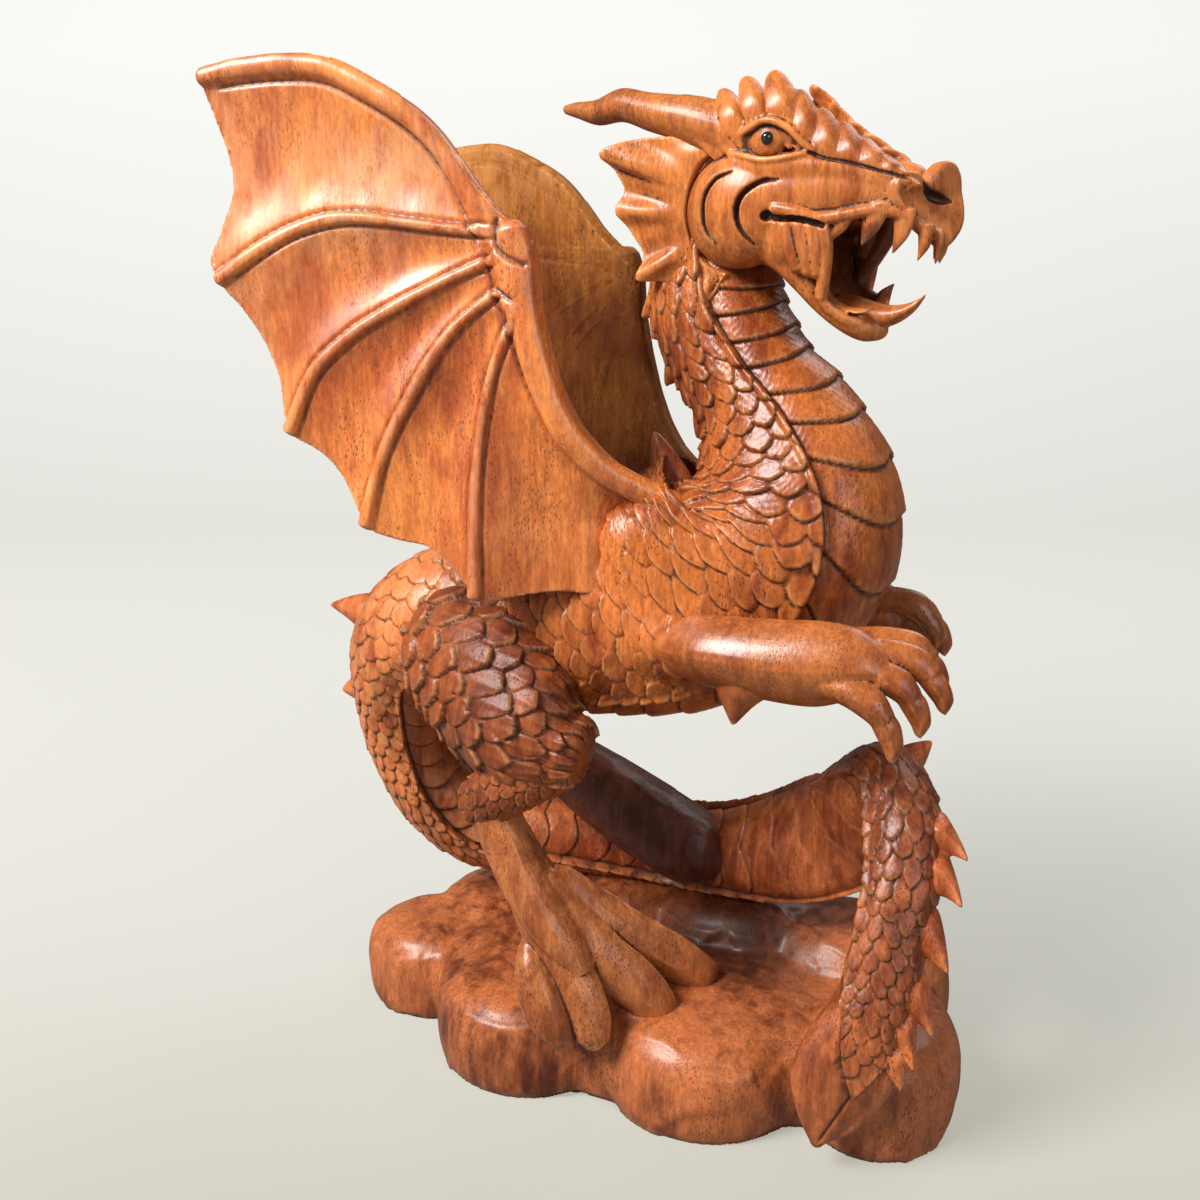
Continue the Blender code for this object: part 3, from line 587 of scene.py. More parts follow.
# %% Cutting scales and plates into the body
SKIN = [  # place, plates end at degrees, scale length, thickness, columns a side, plate length
    (0.0, 50, 6.5, 1.3, 5.5, 14.0), (3.3, 50, 6.5, 1.3, 5.5, 14.0),
    (4.1, 46, 6.8, 1.5, 5.0, 14.0), (8.4, 46, 7.0, 1.4, 5.0, 17.0),
    (9.6, 60, 7.0, 0.5, 5.5, 18.0), (12.0, 84, 6.8, 0.5, 5.5, 18.0),
    (14.0, 70, 6.5, 1.1, 6.0, 17.0), (17.0, 60, 6.3, 1.4, 6.0, 13.0),
    (20.0, 48, 6.5, 1.6, 6.5, 12.0), (23.0, 42, 6.8, 2.2, 7.0, 12.0),
    (25.0, 46, 6.6, 2.4, 6.8, 12.5), (26.0, 54, 6.4, 2.4, 6.5, 12.5),
    (28.0, 67, 6.6, 2.3, 5.8, 12.5), (29.5, 77, 7.4, 2.1, 5.5, 12.0),
    (31.0, 88, 9.0, 1.9, 6.0, 11.5), (33.0, 95, 9.4, 1.7, 5.8, 12.0),
]
LEAF_ENDS = 3.4           # spine row where the tail's leaf passes into its stem
BEHIND_THIGH = 22.2       # spine row where the two pieces of the body meet
PLATES_SINK = 3.2         # the plates lie this far under the scaled skin's edge
PLATE_THICKEST = 2.1
MID_HEIGHT = 0.45         # a scale of this height neither adds wood nor takes it away
NICK = 0.11               # depth of the small knife marks all over the skin


def along_skin(place, column):
    """One column of SKIN, read off at places on the spine."""
    table = np.array(SKIN, float)
    return np.interp(place, table[:, 0], table[:, column])


def count_towards_tail(along, length):
    """How many rows of that length lie between the top of the neck and each ring."""
    steps = np.diff(along, prepend=0.0) / length
    return np.cumsum(steps)[-1] - np.cumsum(steps)


# where each point is: degrees from the belly line, and how far over a plate or a scale
place, along = body["place"], body["along"]
far = along[:, None]
turn = np.degrees(body["angle"])
turn = np.where(turn > 180, 360 - turn, turn)[None, :]
ends_at = along_skin(place, 1)[:, None]
girth = (body["deep"] + body["wide"])[:, None] / 2
rows_down = count_towards_tail(along, along_skin(place, 2))[:, None]
from_ridge = (180 - turn) / (180 - ends_at) * along_skin(place, 4)[:, None]
width = np.radians(180 - ends_at) * girth / along_skin(place, 4)[:, None]
neck = smoothstep(28.5, 31.0, place)[:, None]
wobble = 0.22 * np.sin(far / 17 + turn / 21) + 0.16 * np.sin(turn / 9 - far / 31)

# the pattern of the scales, of the plates, and the raised rim between the two
height, dark, worn_and_painted_light = averaged(scales, rows_down + wobble, from_ridge + 0.5 + 0 * wobble,
                              pitch=along_skin(place, 2)[:, None], width=width, lap=0.66,
                              pointed=0.34 + 0.36 * neck, keel=0.35 * neck)
thick = along_skin(place, 3)[:, None]
plate_rows = count_towards_tail(along, along_skin(place, 5))[:, None]
across = np.clip(turn / ends_at, 0, 1) * np.where(body["angle"] > math.pi, -1, 1)[None, :]
p_height, p_dark, p_worn = averaged(plates, plate_rows + 0 * across, across,
                                    pitch=along_skin(place, 5)[:, None])
rim = (turn - ends_at) * math.pi / 180 * girth
on_scales = smoothstep(-0.8, 0.8, rim)
plate_thick = np.clip(thick * 1.25, 0, PLATE_THICKEST)
full = np.minimum(1, thick)
cut = on_scales * thick * (height - MID_HEIGHT)
cut += (1 - on_scales) * (plate_thick * (p_height - 0.5)
                          - full * PLATES_SINK * np.exp(-np.abs(rim) / 9.0))
cut += full * 1.5 * bell(rim, 1.5, 1.4)
nicks = np.sin(far * 1.9 + 2.2 * np.sin(turn * 0.31)) * np.sin(turn * 0.83 + far * 0.6)
cut += NICK * nicks * full

# stain past each free edge, rubbed wood on it; both fade where the skin is nearly smooth
shown = np.minimum(1, thick / 0.8)
staining_and_painted_shade = shown * np.where(on_scales > 0.5, dark, p_dark)
staining_and_painted_shade = np.maximum(staining_and_painted_shade, 0.8 * shown * bell(rim, 0.8, -0.9))
edge = shown * np.maximum(np.where(on_scales > 0.5, worn_and_painted_light, p_worn), 0.8 * bell(rim, 1.1, 1.2))
print("scale width %.1f to %.1f mm" % (width.min(), width.max()))

# %% The leaf at the end of the tail
MM_A_ROW = 14.0           # about how far one row of the spine reaches at the tail's end
leaf_at = (place / LEAF_ENDS)[:, None]
leaf_across = np.cos(body["angle"])[None, :]
collar = 0.55 + 0.62 * np.abs(leaf_across + 0.30)
past = (collar - leaf_at) * LEAF_ENDS * MM_A_ROW
on_leaf = smoothstep(-0.4, 0.4, past)
vein = (leaf_across + 0.30 * np.clip(leaf_at / 0.55, 0, 1)) * body["deep"][:, None]
vein_cut = bell(vein, 0.8) * smoothstep(0.03, 0.12, leaf_at)
rim_rise = smoothstep(0.66, 0.92, -leaf_across) * smoothstep(0.0, 0.2, leaf_at)
lip = bell(past, 0.9, -0.8)
cut = cut * (1 - on_leaf) + on_leaf * (1.5 * rim_rise - 0.9 * vein_cut - 0.9) + 0.6 * lip
staining_and_painted_shade = staining_and_painted_shade * (1 - on_leaf)
staining_and_painted_shade = np.maximum(staining_and_painted_shade, bell(past, 0.8, 0.5) * (leaf_at < 1.4))
staining_and_painted_shade = np.maximum(staining_and_painted_shade, on_leaf * 0.75 * vein_cut)
# painted shade under the chin, on the belly side at the top of the neck
painted_shade_under_chin = smoothstep(31.2, 32.1, place)[:, None] * smoothstep(118, 70, turn)
staining_and_painted_shade = np.maximum(staining_and_painted_shade, 0.75 * painted_shade_under_chin)
edge = np.maximum(edge * (1 - on_leaf), on_leaf * 0.4 * rim_rise)

body["points"] = body["points"] + grid_normals(body) * cut[..., None]
OVERLAP = 5               # rings that the two pieces of the body share behind the thigh
TUCKED_IN = 0.3           # the hidden end lies this many mm under the other piece's skin


def stretch_of_body(name, first, last):
    """Part of the carved body as a piece of its own. A hidden end is tucked in a little."""
    part = dict(body, points=body["points"][first:last].copy())
    if last < len(place):
        tuck = np.linspace(0.0, TUCKED_IN, OVERLAP)[:, None, None]
        inwards = body["centre"][last - OVERLAP:last, None] - part["points"][-OVERLAP:]
        part["points"][-OVERLAP:] += unit(inwards) * tuck
    return grid_piece(name, part, {"staining_and_painted_shade": staining_and_painted_shade[first:last], "worn_and_painted_light": edge[first:last]})


# painted shade darkens the tail's front loop, and painted light makes the outer bend of the rump paler
joint = int(np.argmin(np.abs(place - BEHIND_THIGH)))
along_x = body["points"][..., 0]
staining_and_painted_shade = np.maximum(staining_and_painted_shade, 0.42 * smoothstep(10, 60, along_x) * (place < 14)[:, None])
edge = np.maximum(edge, 0.55 * smoothstep(-55, -95, along_x) * (place < BEHIND_THIGH)[:, None])
tail = stretch_of_body("tail_and_rump", 0, joint + OVERLAP)
chest = stretch_of_body("chest_and_neck", joint, len(place))
print("body cut: %d and %d points" % (len(tail.data.vertices), len(chest.data.vertices)))

# %% [markdown]
# ## Spikes of the back
# Thorns grow from the ridge of the tail and the rump, one tall horned spike stands between
# the wings, and small nubs run up the neck. On the tail's front loop they are broad leaves
# whose tips point down the tail. Each is a short diamond-sectioned tube, sunk into the ridge.

# %% Ridge spikes
SPIKES = [  # place on the spine, length, lean towards the tail, half length at the root, half width
    (3.2, 7, 1.3, 9.0, 6.5), (3.9, 9, 1.3, 9.5, 7.0), (4.8, 10, 1.2, 10.0, 7.5),
    (6.1, 10, 1.2, 10.5, 7.5), (7.2, 9, 1.3, 10.0, 7.0), (7.8, 9, 1.2, 9.0, 7.0),
    (9.2, 9, 0.6, 8.5, 6.5), (10.4, 7, 0.5, 7.0, 5.0), (11.8, 6, 0.5, 7.0, 5.0),
    (18.9, 15, 0.3, 10.0, 8.0), (20.1, 20, 0.6, 12.0, 9.0), (29.6, 6, 0.7, 6.5, 4.0),
    (30.5, 6, 0.7, 6.0, 4.0), (31.4, 6, 0.7, 6.0, 4.0), (32.2, 5, 0.7, 5.0, 3.5),
]
SPIKE_SUNK = 4            # the spike's root lies this far under the ridge
SPIKE_FORM = ((0.1, 0.92), (0.45, 0.68), (0.8, 0.36), (1.0, 0.13))   # part of length, size
DORSAL_HORN = [(8.5, 0, 260, 10.5, 6.5), (7.5, 0, 267, 8.8, 5.6), (5.0, 0, 273.5, 6.6, 4.6),
               (2.6, 0, 279.5, 4.0, 3.2), (0.8, 0, 283.4, 1.6, 1.4)]


def ridge_spike(at, length, lean, half_length, half_width):
    """Thorn on the ridge of the back, its tip swept towards the tail."""
    i = int(np.argmin(np.abs(body["place"] - at)))
    centre, out = body["centre"][i], -body["belly"][i]
    back, deep = -body["tangent"][i], body["deep"][i]
    rows = []
    for part, size in ((-SPIKE_SUNK / length, 1.0), *SPIKE_FORM):
        spot = centre + out * (deep + part * length) + back * (lean * length * max(part, 0) ** 1.5)
        rows.append((*spot, half_length * size, half_width * size))
    return tube(rows, around=20, steps=5, lean=tuple(back), corner=1.5, blunt=0.5)


spikes = fuse("ridge_spikes", [ridge_spike(*row) for row in SPIKES] + [
    tube(DORSAL_HORN, around=20, lean=(1.0, 0.0, 0.0), corner=1.6)], voxel=0.7, passes=2)
hollow = hollowness(spikes)
set_masks(spikes, 0 * hollow, smoothstep(0.15, 0.6, -hollow))
for piece, triangles in ((chest, 190000), (tail, 155000), (spikes, 10000)):
    finish_piece(piece, triangles)

# %% [markdown]
# ## Wings
# Each wing is one thin board, hollowed between its ribs with a wide gouge, so light slides
# over it in long soft bands. The ribs are left standing and a V cut runs down both sides of
# each. The side that faces the body is only pared smooth. The outline and the rib lines are
# drawn square from the side, and a second rule says how far the board stands from the body.

# %% Wing lines, seen from the side: x and z in the block
WING_ROOT_Y = 53.0
WING_SPLAY = 0.2
WRIST = (-28, 355)
WING_TOP = [(-151, 416), (-134, 418), (-112, 419), (-98, 416), (-84, 409), (-70, 400),
            (-59, 388), (-50, 374), (-40, 363), (-30, 353)]
TOP_BONE = [  # x, z and half width of the bone along the wing's top
    (-150, 414.6, 3.6), (-134, 416.8, 4.3), (-113, 417.0, 4.4), (-100, 414.6, 4.3),
    (-87, 408, 4.2), (-74, 400, 4.1), (-64, 391, 4.0), (-56, 380.5, 4.1), (-50, 371, 4.6),
    (-44, 362, 6.0), (-38, 355, 7.0)]
FOREARM = [  # the same for the arm, from the wrist down to the shoulder
    (-36, 358, 7.4), (-34.5, 350, 8.8), (-32.5, 337, 8.0), (-29.3, 325, 6.4), (-24.5, 307, 6.1),
    (-17.8, 290, 5.7), (-11, 279.5, 5.4), (-3, 271, 5.2), (8, 263.5, 5.2), (22, 255, 6.2)]
RIM = [
    [(-151, 414), (-148, 402), (-144, 388), (-143, 375), (-148, 362), (-153, 350), (-149, 341)],
    [(-149, 341), (-141, 331), (-134, 319), (-129, 305), (-127, 293), (-124, 284)],
    [(-124, 284), (-115, 279), (-107, 271), (-101, 260), (-95, 248)],
    [(-95, 248), (-83, 244), (-71, 241), (-61, 233), (-52, 221)],
    [(-52, 221), (-41, 222), (-30, 224), (-18, 224), (-4, 222)],
]
RIBS = [
    [(-36, 357), (-63, 360), (-94, 364), (-114, 361), (-130, 354), (-149, 343)],
    [(-36, 350), (-58, 342), (-87, 328), (-102, 318), (-114, 306), (-124, 286)],
    [(-35, 341), (-59, 322), (-76, 297), (-87, 276), (-95, 250)],
    [(-32, 332), (-43, 308), (-49, 277), (-51, 250), (-52, 223)],
]
WING_JOINT = [(-20, 302), (-7, 276), (10, 256), (4, 240), (-4, 222)]
LEFT_WING_RISE = 0.86     # the left wing rises a little less above its wrist
BOARD = 5.4               # thickness of the wing's board
RIM_THINNER = 0.42        # share of it that is pared away at the free rim
HOLLOW = 6.0              # depth of the gouged hollow between two ribs
INNER_HOLLOW = 0.55       # the inner side lies this share of it further in, to leave it room


print("right wing spans %.0f mm from wrist to tip" % math.dist(WING_TOP[0], WRIST))

# %% Boards and bones of a wing
def wing_y(x, z):
    """How far the board stands from the middle of the block."""
    near_body = np.clip((x + 46) / 44, 0, 1) * np.clip((300 - z) / 48, 0, 1)
    tucked = smoothstep(-16, 2, x) * smoothstep(272, 250, z)
    return WING_ROOT_Y + WING_SPLAY * (WRIST[0] - x) - 14.0 * near_body - 9.0 * tucked


def lowered(points, rise):
    """Points of the wing, with those above the wrist brought down towards it."""
    return [(x, WRIST[1] + (z - WRIST[1]) * (rise if z > WRIST[1] else 1.0)) for x, z in points]


def even_line(points, count):
    """Points at equal distances along a smooth curve."""
    line = catmull(points, 12)
    far = lengths(line)
    at = np.linspace(0, far[-1], count)
    return np.stack([np.interp(at, far, line[:, k]) for k in range(line.shape[1])], axis=1)


def slab(outer, inner):
    """Closed shell between two grids of points of the same shape."""
    rows, columns = outer.shape[:2]
    count = rows * columns
    spot = np.arange(count).reshape(rows, columns)
    quads = np.stack([spot[:-1, :-1], spot[:-1, 1:], spot[1:, 1:], spot[1:, :-1]], -1)
    quads = quads.reshape(-1, 4)
    faces = [tuple(q) for q in quads] + [tuple(q[::-1] + count) for q in quads]
    border = np.concatenate([spot[0], spot[1:, -1], spot[-1, -2::-1], spot[-2:0:-1, 0]])
    ahead = np.roll(border, -1)
    faces += [(b, a, a + count, b + count) for a, b in zip(border, ahead)]
    return np.vstack([outer.reshape(-1, 3), inner.reshape(-1, 3)]), faces


def wing_sheet(upper, lower, edge, side, across=28, along=60):
    """Board between two ribs, hollowed on its outer side and thinner at its free rim."""
    top, low = even_line(upper, along + 1), even_line(lower, along + 1)
    rim = even_line(edge, across + 1)
    u = np.linspace(0, 1, along + 1)[:, None]
    v = np.linspace(0, 1, across + 1)[None, :]
    flat = top[:, None] * (1 - v[..., None]) + low[:, None] * v[..., None]
    flat = flat + (rim - flat[-1])[None] * (u ** 2)[..., None]
    x, z = flat[..., 0], flat[..., 1]
    dip = HOLLOW * np.sin(math.pi * v) * np.minimum(1, 2.5 * u) * (1 - 0.45 * u)
    half = BOARD / 2 * (1 - RIM_THINNER * smoothstep(0.75, 1.0, u))
    y = wing_y(x, z)
    return slab(np.stack([x, side * (y - dip + half), z], -1),
                np.stack([x, side * (y - INNER_HOLLOW * HOLLOW - half), z], -1))


def wing_bone(points, side, deep, lift, corner=2.0):
    """Rib or bone that follows the board: x, z and half width at each of its points."""
    rows = []
    for k, (x, z, wide) in enumerate(points):
        t = k / (len(points) - 1)
        rows.append((x, side * (wing_y(x, z) + lift), z, deep[0] + (deep[1] - deep[0]) * t, wide))
    return tube(rows, around=24, lean=(0.0, float(side), 0.02), corner=corner)


def with_widths(points, root, tip):
    """Add a half width to each point of a line, changing evenly from root to tip."""
    widths = np.linspace(root, tip, len(points))
    return [(x, z, w) for (x, z), w in zip(points, widths)]


def line_distance(spots, line):
    """Distance of flat points from a line, and how far along it they lie, 0 to 1."""
    best, at, far = np.full(len(spots), 1e9), np.zeros(len(spots)), lengths(line)
    for k in range(len(line) - 1):
        step = line[k + 1] - line[k]
        t = np.clip(((spots - line[k]) @ step) / max(step @ step, 1e-9), 0, 1)
        away = np.linalg.norm(spots - line[k] - t[:, None] * step, axis=1)
        at = np.where(away < best, far[k] + t * (far[k + 1] - far[k]), at)
        best = np.minimum(away, best)
    return best, at / far[-1]


print("a board has %d points" % len(wing_sheet(RIBS[0], RIBS[1], RIM[1], -1)[0]))

# %% Carve a wing
RIB_HALF = (1.9, 2.9)     # half width of a rib at the wrist and at the rim
RIB_CUT, BONE_CUT, WRIST_CUT = 0.95, 1.1, 1.6     # depth of the grooves in mm
WRIST_CUTS = [[(-38.5, 362), (-39.5, 353.5), (-35, 349), (-28, 346)],
              [(-40, 338), (-36.5, 335.5), (-33.5, 334)]]
INNER_CRACK = [(-78, 368.5), (-66, 367.6), (-58, 369.5), (-47, 369.0)]


def carve_wing(name, side, rise):
    """Board, ribs and bones melted together, then cut with V grooves."""
    top = lowered(WING_TOP, rise)
    ribs = [lowered(rib, rise) for rib in RIBS]
    rims = [lowered(rim, rise) for rim in RIM]
    lines = [top[::-1]] + ribs + [WING_JOINT]
    shells = [wing_sheet(lines[k], lines[k + 1], rim, side) for k, rim in enumerate(rims)]
    upper = [(x, lowered([(x, z)], rise)[0][1], w) for x, z, w in TOP_BONE]
    bones = [with_widths(rib, *RIB_HALF) for rib in ribs]
    shells += [wing_bone(bone, side, deep=(1.9, 2.0), lift=1.7) for bone in bones]
    shells.append(wing_bone(upper, side, deep=(4.4, 5.4), lift=-0.6, corner=2.3))
    shells.append(wing_bone(FOREARM, side, deep=(6.2, 6.8), lift=0.2, corner=2.6))
    wing = fuse(name, shells, voxel=0.72, passes=2)
    points, normals = points_of(wing), normals_of(wing)
    spots, outer = points[:, [0, 2]], smoothstep(0.1, 0.5, normals[:, 1] * side)
    cut, staining_and_painted_shade, worn_and_painted_light = np.zeros((3, len(points)))
    for rib in ribs:
        away, at = line_distance(spots, even_line(rib, 60))
        fade = smoothstep(0.0, 0.08, at) * (1 - 0.6 * smoothstep(0.9, 1.0, at))
        half = RIB_HALF[0] + (RIB_HALF[1] - RIB_HALF[0]) * at
        groove = bell(away, 0.75, half + 0.7) * fade
        cut -= RIB_CUT * groove
        staining_and_painted_shade = np.maximum(staining_and_painted_shade, 0.5 * groove)
        worn_and_painted_light = np.maximum(worn_and_painted_light, 0.5 * bell(away, 1.5))
    for bone in (upper, FOREARM):
        line = even_line(bone, 80)
        away, at = line_distance(spots, line[:, :2])
        half = np.interp(at, np.linspace(0, 1, len(line)), line[:, 2])
        fade = smoothstep(0.01, 0.06, at) * (1 - smoothstep(0.93, 1.0, at))
        groove = bell(away, 0.95, half + 0.9) * fade
        cut -= BONE_CUT * groove
        staining_and_painted_shade = np.maximum(staining_and_painted_shade, 0.5 * groove)
        worn_and_painted_light = np.maximum(worn_and_painted_light, 0.35 * bell(away, 1.6, half * 0.55) * fade)
    for line in WRIST_CUTS:
        away, _ = line_distance(spots, even_line(line, 20))
        groove = bell(away, 1.0)
        cut -= WRIST_CUT * groove
        staining_and_painted_shade = np.maximum(staining_and_painted_shade, 0.8 * groove)
    # shallow gouge marks: two sizes on the outer side, one on the inner side
    x, z = points[:, 0], points[:, 2]
    pared = 0.45 * np.sin(x / 9.3 + 1.3 * np.sin(z / 19)) * np.sin(z / 15.0 + x / 23.0)
    pared += 0.16 * np.sin(x / 3.1 - z / 11.0) * np.sin(z / 5.7)
    inner_facets = 0.35 * np.sin(x / 9.0 + z / 14.0) * np.sin(z / 11.0 - x / 19.0)
    cut += outer * pared * 0.8 + (1 - outer) * inner_facets
    set_points(wing, points + normals * (cut * np.where(cut < -0.4, outer, 1.0))[:, None])
    # stain in the cuts and, on the inner side, in a crack; painted shade, a little uneven, over the
    # lower half of the inner side
    hollow = hollowness(wing)
    staining_and_painted_shade = np.maximum(0.95 * outer * staining_and_painted_shade, 0.7 * smoothstep(0.14, 0.5, hollow))
    inner = smoothstep(0.1, 0.5, -normals[:, 1] * side)
    crack = bell(line_distance(spots, even_line(INNER_CRACK, 20))[0], 0.5)
    painted_shade_below = 0.55 * smoothstep(396, 340, z) + 0.10 * np.sin(x / 15 + z / 31) * np.sin(z / 12)
    staining_and_painted_shade = np.maximum(staining_and_painted_shade, inner * np.maximum(painted_shade_below, 0.9 * crack))
    # painted light at the tip and along the top of the inner side, and a painted sheen in one broad
    # patch on the outer side, all laid on as rubbed wood
    painted_sheen = np.exp(-((x + 84) / 34) ** 2 - ((z - 376 - 0.3 * (x + 84)) / 24) ** 2)
    pale = 0.42 * smoothstep(-112, -150, x) + 0.45 * inner * smoothstep(370, 400, z)
    pale += 0.8 * outer * painted_sheen
    worn_and_painted_light = np.maximum(np.maximum(outer * worn_and_painted_light, smoothstep(0.14, 0.45, -hollow)), pale)
    set_masks(wing, staining_and_painted_shade, worn_and_painted_light)
    return wing


finish_piece(carve_wing("right_wing", side=-1, rise=1.0), triangles=90000)
finish_piece(carve_wing("left_wing", side=1, rise=LEFT_WING_RISE), triangles=50000)

# %% [markdown]
# ## Forelegs
# The forelegs are held level, like a begging dog's. Each is one long keeled form that widens
# to the hand, with a thorn under the elbow. Four fingers leave the hand side by side, each
# with a swollen knuckle, and each ends in a hooked claw that starts with a small step. The
# shells are melted together with a fine voxel so that the creases between fingers stay sharp.

# %% Forelegs
FORELEG = [(4, 20, 205, 9, 9), (16, 29, 205.5, 11, 11), (27, 37.5, 206.3, 12.6, 12),
           (37, 43.5, 207.2, 13.6, 12.6), (50, 46, 207.2, 14.6, 13), (66, 47, 206.8, 15.6, 13),
           (80, 47, 207.3, 16, 12.5), (92, 46.5, 208.5, 13.5, 11.5), (100, 45.5, 208, 10, 9.5)]
ELBOW_SPIKE = [(55, 46, 202, 17, 9), (54, 47, 196, 12.5, 7.5), (51.5, 47.5, 189, 6.4, 4.6),
               (50, 47.5, 181.5, 1.3, 1.1)]
FINGERS = [  # palm, middle, knuckle, end, then the claw's tip
    [(82, 52, 203), (93, 54, 201), (101, 55, 197), (106, 55, 191.5), (109, 55, 177)],
    [(85, 49, 208), (98, 49, 207), (108, 49, 204), (113.5, 48.5, 199), (117, 48, 185)],
    [(86, 44, 213), (100, 43, 213), (112, 41.5, 210.5), (118.5, 41, 205.5), (124, 40, 192)],
    [(86, 38, 214.5), (99, 36, 215.5), (110, 34.5, 214), (116.5, 33.5, 209.5), (121, 33, 196.5)],
]
LEFT_HAND_REACH = 0.93    # the left hand is held a little further back


def finger(points):
    """Finger with a knuckle, and a hooked claw that starts with a step."""
    palm, middle, knuckle, end, tip = (np.array(p, float) for p in points)
    bend = (end + tip) / 2 + unit(end - knuckle) * 2.3
    flesh = [(*palm, 6.6, 5.6), (*middle, 6.4, 5.6), (*knuckle, 6.0, 5.3), (*end, 4.5, 4.1)]
    claw = [(*((knuckle + end) / 2), 4.2, 3.4), (*(end + (tip - end) * 0.12), 4.9, 4.1),
            (*bend, 3.7, 2.9), (*(tip + (bend - tip) * 0.35), 2.2, 1.7), (*tip, 0.5, 0.5)]
    return [tube(flesh, lean=(-0.6, 0.0, -0.8), corner=1.55),
            tube(claw, lean=(-0.95, 0.0, -0.3), corner=1.45)]


def carve_foreleg(name, side, reach):
    """Arm, elbow thorn and four fingers melted together, for one side."""
    rows = [(r[0] * reach, side * r[1], *r[2:]) for r in FORELEG]
    spike = [(r[0] * reach, side * r[1], *r[2:]) for r in ELBOW_SPIKE]
    shells = [tube(rows, around=32, corner=1.5), tube(spike, lean=(1.0, 0.0, 0.0), corner=1.6)]
    for points in FINGERS:
        shells += finger([(x * reach, side * y, z) for x, y, z in points])
    leg = fuse(name, shells, voxel=0.55, passes=2)
    hollow = hollowness(leg)
    set_masks(leg, smoothstep(0.22, 0.75, hollow), 0.8 * smoothstep(0.15, 0.45, -hollow))
    return leg


for name, side, reach in (("right_foreleg", -1, 1.0), ("left_foreleg", 1, LEFT_HAND_REACH)):
    finish_piece(carve_foreleg(name, side, reach), triangles=30000)

# %% [markdown]
# ## Hind legs
# The right hind leg stands in front. Its thigh and shin wear the largest scales of the whole
# statue, shield shaped, and end in a hard line above the foot. From there the wood is pared
# smooth: a flat-topped wedge splits into three toes with bevelled walls, and a round heel toe
# lies under them. The left leg lies back against the tail, and only its plain foot shows.

# %% Thighs and shins with shield scales
NEAR_THIGH = [(-92, -8, 196, 22, 16), (-82, -20, 193, 31, 24), (-63, -31, 183, 33, 25),
              (-47, -38, 172, 31, 23), (-33, -42, 164, 25, 20), (-22, -43, 160, 16, 15)]
NEAR_SHIN = [(-22, -43, 160, 14, 14), (-31, -43, 153, 14.5, 13.5), (-42, -43, 145, 14, 13),
             (-54, -42, 135, 12, 12), (-61, -41, 130, 10.5, 10.5)]
FAR_THIGH = [(-92, 12, 196, 24, 18), (-92, 20, 191, 29, 24), (-85, 31, 178, 30, 23),
             (-79, 38, 163, 27, 20), (-74, 41, 149, 21, 17)]
FAR_SHIN = [(-74, 41, 150, 17, 16), (-89, 40, 138, 19, 15), (-98, 38, 124, 14, 12)]
DOWN_BACK = (-0.5, 0.0, -0.85)
DOWN_FRONT = (0.5, 0.0, -0.85)
LIMBS = [  # name, triangles, rows, lean, scale length, scales round, thickness, seam at
    # degrees, points round
    ("right_thigh", 52000, NEAR_THIGH, DOWN_BACK, 9.2, 12, 2.9, 90, 230),
    ("right_shin", 26000, NEAR_SHIN, DOWN_FRONT, 6.2, 11, 1.5, 270, 180),
    ("left_thigh", 26000, FAR_THIGH, DOWN_BACK, 8.2, 13, 2.4, 270, 150),
    ("left_shin", 12000, FAR_SHIN, DOWN_FRONT, 9.0, 9, 1.5, 90, 150),
]
LIMB_GRID = 0.75          # spacing of a limb's grid along its line


def rounded(rows, lean, flat=0.8):
    """Rows with a rounded end added after the last one."""
    rows = [tuple(r) + tuple(lean) for r in rows]
    last, before = np.array(rows[-1], float), np.array(rows[-2], float)
    ahead = unit(last[:3] - before[:3])
    for degrees in (25, 48, 66, 80, 89):
        a = math.radians(degrees)
        row = last.copy()
        row[:3] += ahead * min(last[3], last[4]) * flat * math.sin(a)
        row[3:5] *= max(math.cos(a), 0.03)
        rows.append(tuple(row))
    return rows


def scaled_limb(name, rows, lean, pitch, columns, thick, seam, around):
    """Limb wrapped in scales whose free edges point along the rows."""
    limb = wrap(rounded(rows, lean), around, LIMB_GRID)
    girth = (limb["deep"] + limb["wide"])[:, None] / 2
    turned = np.mod(limb["angle"] + math.radians(seam), 2 * math.pi) / (2 * math.pi)
    along = limb["along"][:, None]
    wobble = 0.14 * np.sin(along / 9 + turned * 19) + 0.12 * np.sin(turned * 31 - along / 13)
    width = 2 * math.pi * girth / columns
    height, dark, worn_and_painted_light = averaged(scales, along / pitch + wobble + 0 * turned,
                                  turned[None, :] * columns + 0.3 * along / pitch,
                                  pitch=pitch, width=width, lap=0.6, pointed=0.45, keel=0.25)
    ends = smoothstep(0.0, 3.0, along[-1] - along) * np.ones_like(height)
    size = np.minimum(1.0, girth / 11)
    limb["points"] = limb["points"] + grid_normals(limb) * (
        thick * size * ends * (height - MID_HEIGHT))[..., None]
    return grid_piece(name, limb, {"staining_and_painted_shade": dark * ends, "worn_and_painted_light": worn_and_painted_light * ends})


for name, triangles, *form in LIMBS:
    finish_piece(scaled_limb(name, *form), triangles)

